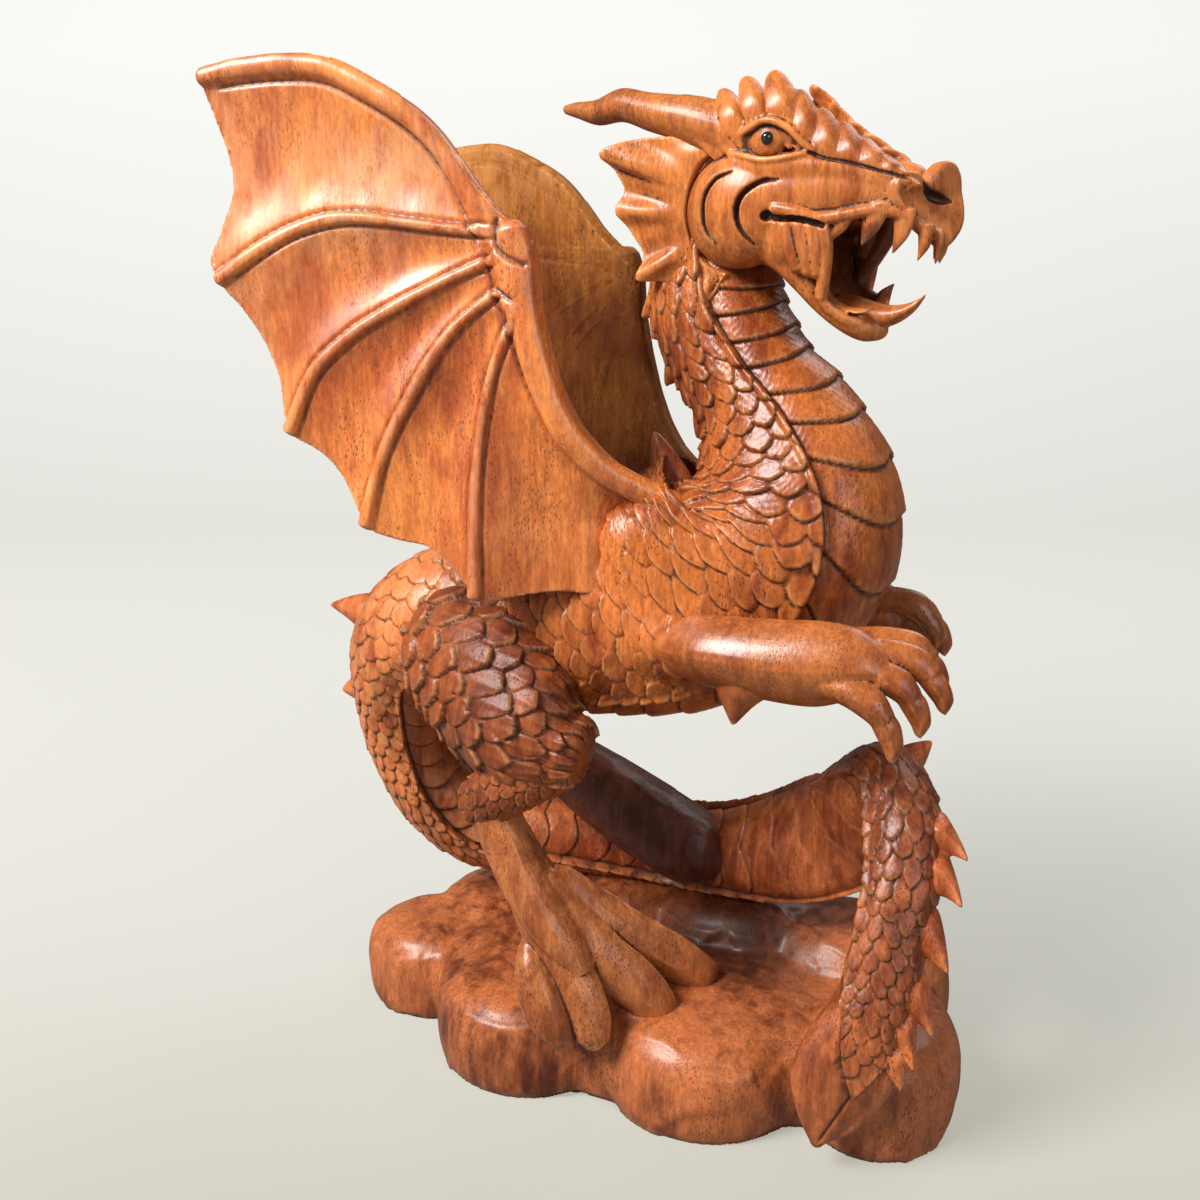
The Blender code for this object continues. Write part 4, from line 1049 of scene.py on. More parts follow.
# %% Smooth feet
NEAR_METATARSUS = [(-60, -41, 136, 9, 9), (-56, -41, 128, 10, 9.5), (-50, -41, 116, 10, 10.5),
                   (-41, -42, 102, 10, 12.5), (-30, -41, 88, 10, 16), (-20, -38, 77, 8.5, 18),
                   (-12, -36, 68, 5, 16)]
NEAR_TOES = [
    [(-40, -45, 98, 9, 8), (-25, -47.5, 73, 11.5, 7.4), (-14, -49, 57, 11.5, 6.8),
     (-6, -50, 43, 9.5, 5.6), (-3, -50, 36, 6, 3.6)],
    [(-34, -41, 98, 9, 8), (-12, -38, 72, 11.5, 7.4), (4, -32, 56, 11.5, 6.8), (14, -28, 44, 9.5, 5.6),
     (17, -27, 38, 6, 3.6)],
    [(-30, -36, 98, 9, 8), (-4, -25, 75, 11.5, 7.4), (13, -13, 60, 11.5, 7), (25, -4, 48, 9.5, 5.8),
     (28, -1, 43, 6, 3.6)],
]
NEAR_HEEL_TOE = [(-35, -50, 74, 4, 4), (-32, -53, 66, 7.5, 7.5), (-28, -54, 56, 9.8, 10),
                 (-23, -55, 45, 9.4, 9.4), (-18, -55, 36, 5.8, 5.6)]
FAR_FOOT = [(-94, 40, 123, 13, 11), (-72, 42, 124, 13, 12), (-52, 42, 114, 17, 14),
            (-29, 42, 102, 19, 16), (-6, 42, 91, 19, 17), (10, 42, 84, 17, 17),
            (17, 42, 81, 11, 13)]


print("the right foot has %d toes and a heel toe" % len(NEAR_TOES))

# %% Paring with a chisel
def pare(obj, reach, depth, seed):
    """Soft chisel facets: skin drawn towards the flat plane of the nearest chisel mark."""
    points, normals = points_of(obj), normals_of(obj)
    pick = np.random.default_rng(seed)
    low, high = points.min(axis=0), points.max(axis=0)
    count = int(((high - low).prod() / reach ** 3) * 1.2) + 8
    throws = pick.random((count, 3)) * (high - low) + low
    best = np.full(len(points), 1e9)
    owner = np.zeros(len(points), int)
    for k, throw in enumerate(throws):
        away = ((points - throw) ** 2).sum(axis=1)
        owner = np.where(away < best, k, owner)
        best = np.minimum(away, best)
    size = np.maximum(np.bincount(owner, minlength=count), 1)[:, None]
    centre = np.stack([np.bincount(owner, points[:, k], count) for k in range(3)], 1) / size
    facing = np.stack([np.bincount(owner, normals[:, k], count) for k in range(3)], 1) / size
    flatness = np.linalg.norm(facing, axis=1)
    gap = ((centre[owner] - points) * unit(facing)[owner]).sum(axis=1)
    gap = np.clip(gap, -depth, depth) * smoothstep(0.55, 0.85, flatness[owner])
    gap = spread_out(gap, edges_of(obj), 2)
    set_points(obj, points + normals * gap[:, None])


def smooth_foot(name, shells, voxel, triangles, facet, depth, seed):
    """Foot without scales: fused, pared with facets of that size and depth, and stained."""
    obj = fuse(name, shells, voxel, passes=3)
    pare(obj, facet, depth, seed)
    hollow = hollowness(obj)
    set_masks(obj, smoothstep(0.10, 0.5, hollow), smoothstep(0.08, 0.35, -hollow))
    finish_piece(obj, triangles)


foot = [tube(NEAR_METATARSUS, around=32, lean=(-0.86, 0.0, -0.5), corner=2.6)]
foot += [tube(toe, around=32, lean=(-0.70, -0.35, -0.62), corner=1.42) for toe in NEAR_TOES]
foot.append(tube(NEAR_HEEL_TOE, lean=(-0.9, 0.0, -0.3), corner=2.0))
smooth_foot("right_foot", foot, voxel=0.55, triangles=42000, facet=14, depth=0.12, seed=3)
far_foot = [tube(FAR_FOOT, around=32, lean=(-0.45, 0.0, -0.9), corner=2.3)]
smooth_foot("left_foot", far_foot, voxel=0.9, triangles=16000, facet=16, depth=0.2, seed=5)

# %% [markdown]
# ## Rock
# The foot of the block is left as a cluster of eight boulders round one low core. Their
# walls stand nearly upright and bulge a little; deep creases part them. The creases
# come from fusing overlapping domes, and the chisel facets from pulling the skin towards
# flat planes. The underside is one flat face, on which the statue stands.

# %% Boulders
ROCK_LOBES = [  # x, y, half length, half depth, top
    (-118, 10, 35, 31, 42), (-52, -14, 45, 43, 43), (30, -10, 46, 44, 43), (102, 6, 34, 42, 47),
    (82, 54, 44, 36, 60), (24, 58, 50, 36, 64), (-36, 58, 50, 34, 62), (-90, 42, 40, 36, 50),
]
ROCK_CORE = (-4, 17, 122, 60, 46)
LOBE_PROFILE = [  # height and reach of a boulder's wall, as parts of its own
    (0.0, 0.94), (0.10, 0.97), (0.26, 0.995), (0.44, 1.0), (0.60, 0.985),
    (0.74, 0.945), (0.85, 0.87), (0.93, 0.75), (0.98, 0.55), (1.0, 0.28)]
SAWN_BELOW = 1.2          # everything under this height is made one flat underside


def boulder(x, y, half_length, half_depth, top, around=48):
    """Dome with steep, slightly bulging walls and a flat underside."""
    a = np.linspace(0, 2 * math.pi, around, endpoint=False)
    rings = [np.stack([x + half_length * reach * np.cos(a), y + half_depth * reach * np.sin(a),
                       np.full(around, top * rise)], axis=1) for rise, reach in LOBE_PROFILE]
    verts = np.vstack([[[x, y, 0.0]]] + rings + [[[x, y, top]]])
    return verts, tube_faces(len(rings), around)


rock = fuse("rock", [boulder(*row) for row in ROCK_LOBES] + [boulder(*ROCK_CORE)],
            voxel=1.25, passes=45)
pare(rock, reach=34, depth=0.5, seed=11)
points = points_of(rock)
points[:, 2] = np.where(points[:, 2] < SAWN_BELOW, 0.0, points[:, 2])
set_points(rock, points)
hollow = hollowness(rock, 3)
creased = smoothstep(0.05, 0.30, hollow)
x, y, z = points.T
# painted shade on the rock's top under the tail
painted_shade_under_tail = np.exp(-((x - 38) / 62) ** 2 - ((y - 22) / 34) ** 2) * smoothstep(26, 40, z)
set_masks(rock, np.maximum(creased, 0.62 * painted_shade_under_tail), smoothstep(0.05, 0.22, -hollow))
finish_piece(rock, triangles=60000)

# %% [markdown]
# ## Head
# The head is carved in its own frame, looking along X, and turned into place at the end. Its
# side is one broad smooth swell from the cheek to the nose. The mouth is hollowed out between
# palate and jaw, which is done by cutting a throat shape from the fused masses while they are
# still coarse, and the eye sockets with it. Then teeth, lids, crest, horns and nose are
# melted on with a fine voxel.

# %% Masses of the head
SKULL = [(3, 0, 4, 14, 14), (14, 0, 4.5, 20, 21), (28, 0, 6, 22, 24), (42, 0, 8.5, 18, 22.5),
         (56, 0, 6.4, 12, 19), (70, 0, 5.8, 7.8, 16), (80, 1.0, 3.6, 6.2, 11.5),
         (84, 4.5, 0.0, 6.6, 7.0), (88, 7.5, -4.5, 5.6, 4.0)]
JAW = [(16, 0, -9.5, 8, 19), (32, 0, -9.5, 8.5, 21), (42, 0, -14, 8, 20.5),
       (50, 0, -21.5, 7.5, 19.5), (56, 0, -29, 6.5, 17.6), (61, 0, -35, 5.4, 15),
       (66, 0, -39.5, 4.8, 12), (70, 0, -42, 4.4, 8.5), (73, 0, -43, 3.2, 4.5)]
CHEEK = ((26, 16, 1.5), (22, 12, 20))
JOWL = ((46, 15, -8), (13, 8.5, 12))
FACE = [(30, 19, 4, 12, 6), (42, 18.3, 5, 10.5, 6), (54, 16, 4.6, 9.5, 5.2),
        (66, 13.2, 5.0, 6.6, 4.4), (76, 10.6, 2.8, 5.4, 3.8), (82, 8.4, 0.8, 4.6, 3.0)]
FACE_EDGE = [(28, 20, 17, 5, 4.2), (42, 19.5, 14.5, 5, 4.2), (54, 17, 13.6, 4.5, 3.8),
             (66, 14, 11.2, 4, 3.2), (76, 11.3, 7.4, 3.5, 3), (83, 8.4, 4.6, 3, 2.2)]
BROW = [(12, 15.5, 29, 7, 6), (26, 16.5, 27.5, 6, 5), (38, 16.5, 29, 5, 5), (48, 16, 26, 5, 4.5),
        (57, 13.5, 18.5, 5, 4), (70, 10, 13, 4, 4), (84, 7, 8, 3.5, 3.5)]
THROAT = [(39, 0, -10, 4, 12), (46, 0, -13.5, 7, 15), (53, 0, -17.5, 11, 15.5),
          (58, 0, -21, 13.5, 14.6), (62, 0, -24.5, 14, 12.5), (66, 0, -29, 12.8, 9.4),
          (69, 0, -34, 8.8, 6)]
PALATE = [(50, 0, -8.5, 4, 14.5), (62, 0, -6.2, 4.5, 13.5), (74, 0, -5.4, 4.5, 12),
          (83, 0, -6.8, 4, 9.5), (89, 0, -11, 3.5, 6)]
SOCKET = ((42, 22.5, 22.8), (9.5, 5.5, 5.6))
EYEBALL = ((40, 18, 23), (7, 5, 6))


def side_ball(side, form):
    """Ball on one side of the head, from its centre and radii."""
    (x, y, z), radii = form
    return ball((x, side * y, z), radii)


masses = [tube(SKULL, around=48, corner=2.45),
          tube(JAW, around=40, lean=(-0.5, 0, -0.86), corner=2.5)]
masses += [side_ball(side, form) for form in (CHEEK, JOWL) for side in (-1, 1)]
masses += [tube(flipped(rows, side)) for rows in (FACE_EDGE, BROW, FACE) for side in (-1, 1)]
head_mass = fuse("head_mass", masses, voxel=0.8, passes=8)
hollows = [tube(THROAT, around=40), tube(PALATE, around=32)]
hollows += [side_ball(side, SOCKET) for side in (-1, 1)]
cutter = fuse("throat_cutter", hollows, voxel=1.0, passes=4)
hollow_out = head_mass.modifiers.new("mouth", "BOOLEAN")
hollow_out.operation = "DIFFERENCE"
hollow_out.solver = "EXACT"
hollow_out.object = cutter
apply_modifiers(head_mass)
mass_shell = (points_of(head_mass), [tuple(p.vertices) for p in head_mass.data.polygons])
for used in (head_mass, cutter):
    bpy.data.objects.remove(used, do_unlink=True)
print("head mass with its mouth cut: %d faces" % len(mass_shell[1]))

# %% [markdown]
# ## Features of the head
# Eleven leaf-shaped lobes on each side make the crest. They stand like roof slates, back edge
# outwards, so each throws a shadow on the next. The teeth are small leaves, the lips and lids
# are rolled rims, folds of skin join the jaws, and a crescent tusk curls out of the lower
# jaw. The nose is a heart-shaped disc across the end of the snout, its near lobe wider. The
# mouth's far corner shows from the front, so it gets a thicker fold, cheek and jaw rim.

# %% Lines of the head's features
CREST = [  # root x and z, tip x and z, distance from the middle, half length
    (17.5, 26.0, 6.0, 38.0, 20.0, 4.6), (23.5, 27.0, 12.5, 40.0, 19.5, 4.8),
    (30.0, 28.5, 19.7, 42.5, 19.0, 5.0), (38.0, 30.5, 28.6, 45.2, 17.8, 5.4),
    (47.5, 29.0, 38.9, 45.6, 16.6, 6.0), (54.5, 21.5, 47.6, 38.6, 15.2, 5.6),
    (62.5, 16.5, 55.4, 31.8, 13.8, 5.4), (70.0, 13.2, 62.4, 26.8, 12.2, 5.0),
    (76.8, 10.6, 69.0, 21.4, 10.8, 4.6), (82.0, 8.4, 75.0, 15.4, 9.4, 4.2),
    (85.0, 6.4, 79.6, 11.0, 8.2, 3.2),
]
LEFT_CREST_LOWER = 3.0    # the tips of the left crest stand this much lower
HORN = [(24, 15, 27, 10, 8), (13, 17, 31.5, 9.6, 8), (2, 18.5, 35.4, 7.8, 7.2),
        (-10, 19, 38.8, 6.8, 6.4), (-22, 19, 42.6, 5.9, 5.6), (-34, 19, 41.6, 4.6, 4.6),
        (-44, 19, 43.6, 3.0, 3.2), (-50, 19, 44.6, 1.7, 1.8)]
UPPER_LID = [(20, 18.5, 24), (27, 20.3, 25), (34.6, 21.6, 28), (41.8, 21.8, 29.6),
             (48.7, 20.8, 26.6), (53.2, 19.4, 21.8), (57, 18, 18.2)]
LOWER_LID = [(26, 21.5, 20.4), (34.3, 23.2, 18.6), (41, 23.2, 17.0), (49.7, 21.4, 17.2),
             (55, 18.8, 17.8)]
UPPER_LIP = [(44, 22.6, 1.4), (52, 21.4, -0.6), (59, 18.9, -3.2), (67, 16.6, -2.9), (75, 14.0, -2.0),
             (82, 11.6, -2.8), (88, 8.6, -6.2), (92.5, 4.0, -10.8)]
LOWER_LIP = [(58.5, 17.2, -26.5), (59.5, 16.4, -31.0), (62.5, 14.2, -34.8), (66.5, 11.0, -38.2),
             (70, 6.6, -40.4), (71.5, 0, -41.4)]
FOLDS = [
    [(47.5, 21.6, -3.0), (49.5, 22.0, -11.0), (52.0, 20.6, -19.5)],
    [(52.3, 20.6, -3.6), (54.2, 21.0, -12.0), (55.6, 19.8, -20.8)],
    [(56.4, 19.4, -4.2), (58.0, 19.6, -12.6), (58.0, 18.8, -21.6)],
    [(60.2, 18.0, -5.2), (61.6, 17.9, -13.0), (60.4, 17.4, -22.2), (58.8, 16.9, -29.5)],
]
FAR_FOLD = [(71, 15.0, -4), (68, 15.6, -10), (63, 16.2, -16.5), (58.5, 16.2, -22),
            (56, 16, -28), (56, 15.5, -33)]
FAR_CHEEK = [(64, 16.5, -3), (61.5, 16.6, -9), (58.5, 16.4, -16)]
FAR_JAW = [(56.5, 15, -28), (61.5, 13.6, -31), (66.5, 11.4, -33.2), (70.5, 8.5, -35)]
RIMS_OF_FACE = [  # line, radius at its start and at its end
    (UPPER_LIP, 2.2, 2.0), (LOWER_LIP, 1.9, 1.9), (UPPER_LID, 1.5, 1.1), (LOWER_LID, 1.3, 1.1)]
FAR_RIMS = [(FAR_FOLD, 3.3), (FAR_CHEEK, 4.6), (FAR_JAW, 2.6)]
UPPER_TEETH = [  # root, tip, half length, half thickness
    ((67.0, 15.6, -2.4), (62.2, 16.2, -10.8), 4.4, 1.9),
    ((77.4, 12.8, -1.6), (72.6, 13.6, -13.0), 4.9, 2.0),
    ((86.4, 9.6, -4.5), (82.6, 11.0, -16.2), 4.0, 1.9),
    ((91.8, 5.4, -9.5), (89.2, 6.4, -19.2), 2.9, 1.9),
    ((94.0, 1.6, -11.5), (93.2, 1.6, -20.8), 2.3, 1.8),
]
LOWER_TEETH = [  # side of the mouth, then the same
    (-1, (68.5, 9.0, -34.5), (61.2, 9.4, -31.0), 3.4, 3.0),
    (-1, (57.0, 12.5, -30.0), (58.5, 12.3, -23.4), 3.6, 3.0),
    (1, (68.0, 10.0, -33.0), (73.6, 9.4, -26.6), 3.4, 2.6),
]
TUSK = [(58, -1, -33, 5.0, 7), (65, 0, -36, 5.4, 6.6), (73, 0.5, -37.4, 4.4, 5.0),
        (79.5, 1.0, -36.8, 3.5, 4.0), (85, 1.0, -34.4, 2.3, 2.7), (88.6, 1.0, -31.2, 0.9, 1.1)]
NOSE = [  # y and z round the nose disc, whose right lobe has negative y
    (-11.8, 3), (-11, 7), (-7.6, 9.2), (-4, 8.6), (-1, 5.6), (2, 9.2), (6, 12.0), (10.2, 11.2),
    (12.6, 6.5), (12.6, -1), (10.4, -8), (6.2, -12.6), (1.5, -15.4), (-2, -13.4), (-6, -9.2),
    (-9.6, -4), (-11.4, 0)]
NOSE_THICK = 5.4
NOSE_RINGS = ((-0.5, 0.86), (-0.36, 0.98), (0.30, 1.0), (0.46, 0.95), (0.5, 0.85))
NEAR_LOBE_WIDER = 1.1


print("%d crest lobes and %d upper teeth on each side" % (len(CREST), len(UPPER_TEETH)))

# %% Nose
def nose_x(y, z):
    """The nose disc stands across the snout's end, its lower point forward."""
    return 88.4 + 0.42 * y + 0.30 * max(0.0, 2.0 - z)


def nose_disc():
    """Shell of the nose: its outline repeated from back to front, with rounded edges."""
    outline = catmull(NOSE + NOSE[:1], 4)[:-1]
    outline[:, 0] *= np.where(outline[:, 0] < 0, NEAR_LOBE_WIDER, 1.0)
    rings = [[(nose_x(y, z) + offset * NOSE_THICK, y * size, (z + 1) * size - 1)
              for y, z in outline] for offset, size in NOSE_RINGS]
    back, front = ([(nose_x(0, -1) + part * NOSE_THICK, 0.5, -1.0)] for part in (-0.5, 0.5))
    return np.vstack([back] + rings + [front]), tube_faces(len(rings), len(outline))


print("nose disc: %d points" % len(nose_disc()[0]))

# %% Lobes, teeth and rims
def lobe_of_crest(side, root_x, root_z, tip_x, tip_z, y, half):
    """Leaf that leans back, its back edge turned outwards like a slate."""
    root = np.array([root_x, side * y, root_z])
    tip = np.array([tip_x, side * (y - 3.5), tip_z])
    up = tip - root
    swell_out = np.array([0.6, side * 1.8, 0.0])
    rows = [(*(root - 0.38 * up + (1, -side * 2.5, -1)), half, 3.0), (*root, half * 1.05, 3.2),
            (*(root + 0.34 * up + swell_out), half * 1.05, 2.9),
            (*(root + 0.66 * up + swell_out * 0.7), half * 0.85, 2.2),
            (*(root + 0.88 * up), half * 0.62, 1.6), (*tip, half * 0.32, 0.9)]
    return tube(rows, around=24, lean=(0.70, -side * 0.66, 0.30), corner=1.22, blunt=0.4)


def tooth(side, root, tip, half, thick):
    """Leaf-shaped tooth with a slight curve."""
    root, tip = (np.array([p[0], side * p[1], p[2]], float) for p in (root, tip))
    bow = np.cross(unit(tip - root), (0.0, 1.0, 0.0)) * 0.9
    rows = [(*(root + (root - tip) * 0.15), half * 0.8, thick), (*root, half, thick),
            (*((root + tip) / 2 + bow), half * 0.72, thick * 0.85),
            (*(root + (tip - root) * 0.82 + bow * 0.5), half * 0.34, thick * 0.5),
            (*tip, half * 0.10, thick * 0.2)]
    return tube(rows, around=16, lean=(1.0, 0.0, 0.0), corner=1.7, blunt=0.4)


def rim_tube(points, side, radius, end_radius=None):
    """Thin rolled rim along a line."""
    widen = (end_radius or radius) - radius
    radii = [radius + widen * k / (len(points) - 1) for k in range(len(points))]
    rows = [(x, side * y, z, r, r) for (x, y, z), r in zip(points, radii)]
    return tube(rows, around=14, lean=(0.02, float(side), 0.03))


print("one lobe of the crest has %d points" % len(lobe_of_crest(-1, *CREST[0])[0]))

# %% Melting the features on
features = [tube(TUSK, around=24, lean=(-0.3, 0.0, -0.95), corner=1.8), nose_disc()]
for side in (-1, 1):
    lower = LEFT_CREST_LOWER if side > 0 else 0.0
    features += [lobe_of_crest(side, *row[:3], row[3] - lower, *row[4:]) for row in CREST]
    features.append(tube(flipped(HORN, side), around=28, corner=1.85))
    features += [tooth(side, *row) for row in UPPER_TEETH]
    features += [rim_tube(fold, side, 2.5, 2.3) for fold in FOLDS]
    features += [rim_tube(line, side, start, end) for line, start, end in RIMS_OF_FACE]
    features.append(side_ball(side, EYEBALL))
features += [rim_tube(line, 1, radius) for line, radius in FAR_RIMS]
features += [tooth(*row) for row in LOWER_TEETH]
head = fuse("head", [mass_shell] + features, voxel=0.5, passes=2)
print("head melted: %d points" % len(head.data.vertices))

# %% [markdown]
# ## Cuts in the head
# Two crescent gills are cut deep into each cheek, widest in the middle. A groove starts with
# a round gouge mark and runs along the upper lip. A dark line parts the crest from the face,
# and one leaf-shaped nostril is cut in the nose disc. Each cut is a line seen from the side
# (or from the front for the nose), with its own width and depth.

# %% Cuts in the head
GILLS = [[(28.8, 14.5), (22.5, 12.8), (18.2, 7.7), (17.1, 0.8), (18.5, -4.9), (21.8, -8.9)],
         [(46.1, 10.3), (39.6, 10.3), (33.6, 6.4), (31.6, 0.7), (33.0, -5.4), (36.5, -10.1)]]
LIP_GROOVE = [(41.9, -1.1), (45.2, -2.1), (52.3, -2.8), (56.9, -3.9), (61.4, -5.6)]
CREST_LINE = [(56, 18.0), (60.5, 15.9), (69.4, 13.4), (80.1, 9.6), (89.0, 6.8)]
NOSTRIL = [(-3.0, 5.2), (-0.6, 1.6), (6.4, -1.0)]
THINNEST = 0.45           # half width of a cut at its ends, in mm
GOUGE_RADIUS, GOUGE_DEPTH = 2.2, 2.6
EYE_MIDDLE, EYE_HALF = (41.5, 22.8), (11.0, 6.2)      # seen from the side, with its lids


def cut_line(flat, line, half, depth, facing, even=False):
    """Depth of a cut along a line and its stain. Unless it is even, it swells at its middle."""
    away, at = line_distance(flat, even_line(line, 40))
    swell_mid = 1.0 if even else np.sin(math.pi * np.clip(at, 0.02, 0.98)) ** 0.7
    width = THINNEST + (half - THINNEST) * swell_mid
    inside = np.clip(1 - (away / width) ** 2, 0, 1)
    return facing * inside * depth * swell_mid, facing * smoothstep(0.0, 0.5, inside)


points, normals = points_of(head), normals_of(head)
side_view = points[:, [0, 2]]
facing = smoothstep(0.15, 0.45, normals[:, 1] * np.sign(points[:, 1])) * (np.abs(points[:, 1]) > 8)
depth, staining_and_painted_shade = np.zeros((2, len(points)))
cuts = [(gill, 1.35, 3.0, False) for gill in GILLS]     # line, half width, depth, even
cuts += [(LIP_GROOVE, 1.1, 2.2, True), (CREST_LINE, 0.7, 0.8, True)]
for line, half, deep, even in cuts:
    d, s = cut_line(side_view, line, half, deep, facing, even)
    depth, staining_and_painted_shade = np.maximum(depth, d), np.maximum(staining_and_painted_shade, s)
gouge = np.linalg.norm(side_view - LIP_GROOVE[0], axis=1)
round_cut = np.clip(1 - (gouge / GOUGE_RADIUS) ** 2, 0, 1)
depth = np.maximum(depth, facing * GOUGE_DEPTH * round_cut)
staining_and_painted_shade = np.maximum(staining_and_painted_shade, facing * smoothstep(2.4, 1.4, gouge))
in_front = (points[:, 0] > 85) * smoothstep(0.4, 0.7, normals[:, 0])
d, s = cut_line(points[:, [1, 2]], NOSTRIL, half=2.3, depth=3.2, facing=in_front)
depth, staining_and_painted_shade = np.maximum(depth, d), np.maximum(staining_and_painted_shade, s)
set_points(head, points - normals * depth[:, None])
hollow = hollowness(head)
mouth = smoothstep(44, 50, points[:, 0]) * (1 - smoothstep(74, 88, points[:, 0]))
mouth = mouth * (np.abs(points[:, 1]) < 15.5) * smoothstep(-4.5, -7.0, points[:, 2])
mouth = mouth * smoothstep(-36.0, -30.0, points[:, 2])
# the inside of the mouth is made darker
staining_and_painted_shade = np.maximum(np.maximum(staining_and_painted_shade, smoothstep(0.16, 0.6, hollow)), 0.55 * mouth)
rim_of_eye = np.linalg.norm((side_view - EYE_MIDDLE) / EYE_HALF, axis=1)
around_eye = facing * bell(rim_of_eye, 0.13, 0.86)
around_eye = around_eye + facing * 0.35 * smoothstep(0.9, 0.6, rim_of_eye)
# the head is made darker towards its back
staining_and_painted_shade = np.maximum(staining_and_painted_shade, 0.36 * smoothstep(34, 10, points[:, 0]))
staining_and_painted_shade = np.maximum(staining_and_painted_shade, around_eye * (points[:, 0] > 24) * smoothstep(0.0, 0.1, hollow + 0.1))
# the snout is made paler towards its tip, outside the mouth
paler_towards_snout = 0.6 * smoothstep(40, 100, points[:, 0]) * (1 - mouth)
set_masks(head, staining_and_painted_shade, np.maximum(0.9 * smoothstep(0.15, 0.5, -hollow), paler_towards_snout))
place_head = np.array(head_place())


def turn_into_place(obj):
    """Take a piece from the head's own frame to the block's."""
    points = points_of(obj)
    set_points(obj, points @ place_head[:3, :3].T + place_head[:3, 3])


turn_into_place(head)
finish_piece(head, triangles=155000)

# %% [markdown]
# ## Frills
# Behind each cheek a fan of skin spreads in folds to a scalloped edge, and its lowest lobe
# curls outwards over the neck. It is a sheet between two lines, the root under the cheek and the
# scalloped rim, with the folds added as a wave that grows towards the rim.

# %% Frills
FRILL_ROOT = [(20, 23), (12, 18), (8, 9), (7, 0), (9, -9), (14, -16), (22, -20)]
FRILL_RIM = [(17, 25), (8, 28), (-4, 29.5), (-16, 29), (-24, 25.5), (-19.5, 19), (-17, 12),
             (-19, 5), (-16, -1), (-12, -8), (-11, -13), (-12.5, -20), (-6, -21),
             (4, -23), (13, -30), (21, -20)]
FRILL_TIPS = (4, 7, 11, 14)   # which rim points are tips
FRILL_STANDS = 17.0           # distance of the frill's root from the middle of the head
FOLD_HEIGHT = 1.5


def carve_frill(name, side, rows=90, columns=40):
    """Folded sheet behind one cheek."""
    rim, root = even_line(FRILL_RIM, rows), even_line(FRILL_ROOT, rows)
    far = lengths(catmull(FRILL_RIM, 12))
    tips = [far[12 * k] / far[-1] for k in FRILL_TIPS]
    s = np.linspace(0, 1, rows)
    fold = np.interp(s, [0.0] + tips + [1.0], np.arange(len(tips) + 2) - 1.0)
    t = np.linspace(0, 1, columns)[None, :]
    flat = root[:, None] * (1 - t[..., None]) + rim[:, None] * t[..., None]
    x, z = flat[..., 0], flat[..., 1]
    ridge = np.cos(2 * math.pi * fold) + 0.45 * np.cos(4 * math.pi * fold + 0.6)
    wave = FOLD_HEIGHT * ridge[:, None] * smoothstep(0.0, 0.7, t)
    curl = 3.5 * smoothstep(0.8, 1.0, s)[:, None] * t ** 2
    y = FRILL_STANDS + 0.3 * (20 - x) + wave + curl
    half = 2.4 - 1.3 * smoothstep(0.2, 1.0, t)
    sheet = slab(*(np.stack([x, side * (y + away), z], -1) for away in (half, -half)))
    frill = fuse(name, [sheet], voxel=0.6, passes=2)
    hollow = hollowness(frill)
    set_masks(frill, smoothstep(0.05, 0.30, hollow), smoothstep(0.06, 0.30, -hollow))
    turn_into_place(frill)
    finish_piece(frill, triangles=16000)


carve_frill("right_frill", -1)
carve_frill("left_frill", 1)
print("all pieces: %d triangles" % sum(triangles_of(piece) for piece in pieces.values()))

# %% [markdown]
# ## The wood
# The statue is open-pored tropical hardwood with its grain running up the block. Its pores
# show as short dark dashes on upright faces and as dots on level ones, which one pattern
# stretched along Z gives by itself. Broad bands drift from ochre to red brown, a dark stain
# lies in every cut, and edges are rubbed back to bare amber. The same stain colour also paints
# shade in a few places, and the same rubbed colour paints light in others. All of it is worked
# out in the block's own coordinates, so the grain runs on from piece to piece as it does in one
# block.

# %% Shader helpers
def group(name, inputs, outputs):
    """Empty node group with named sockets. An input is name, kind, value."""
    tree = bpy.data.node_groups.new(name, "ShaderNodeTree")
    for title, kind, value in inputs:
        made = tree.interface.new_socket(title, in_out="INPUT", socket_type="NodeSocket" + kind)
        made.default_value = value
    for title, kind in outputs:
        tree.interface.new_socket(title, in_out="OUTPUT", socket_type="NodeSocket" + kind)
    return tree, tree.nodes.new("NodeGroupInput"), tree.nodes.new("NodeGroupOutput")


def fill(tree, made, inputs):
    """Set a node's inputs. A value that is another node's socket is linked instead."""
    for key, value in inputs.items():
        if isinstance(value, bpy.types.NodeSocket):
            tree.links.new(value, made.inputs[key])
        else:
            made.inputs[key].default_value = value
    return made


def node(tree, kind, inputs=None, **settings):
    """New node with its settings, then its inputs."""
    made = tree.nodes.new("ShaderNode" + kind)
    for key, value in settings.items():
        setattr(made, key, value)
    return fill(tree, made, inputs or {})


def maths(tree, operation, a, b=0.0, clamp=False):
    return node(tree, "Math", {0: a, 1: b}, operation=operation, use_clamp=clamp).outputs[0]


def ramp(tree, value, low, high, to_low=0.0, to_high=1.0):
    """Soft ramp between two numbers as value goes from low to high."""
    return node(tree, "MapRange", {
        "Value": value, "From Min": low, "From Max": high, "To Min": to_low, "To Max": to_high},
        interpolation_type="SMOOTHSTEP").outputs["Result"]


def blend(tree, factor, a, b, mode="MIX"):
    """Mix of two colours. The mix node has its colour inputs at 6 and 7, its output at 2."""
    return node(tree, "Mix", {0: factor, 6: a, 7: b}, data_type="RGBA", blend_type=mode).outputs[2]


def stretched(tree, scale):
    """The block's coordinates, stretched by a scale for each axis."""
    place = node(tree, "TexCoord").outputs["Object"]
    return node(tree, "Mapping", {"Vector": place, "Scale": scale}).outputs["Vector"]


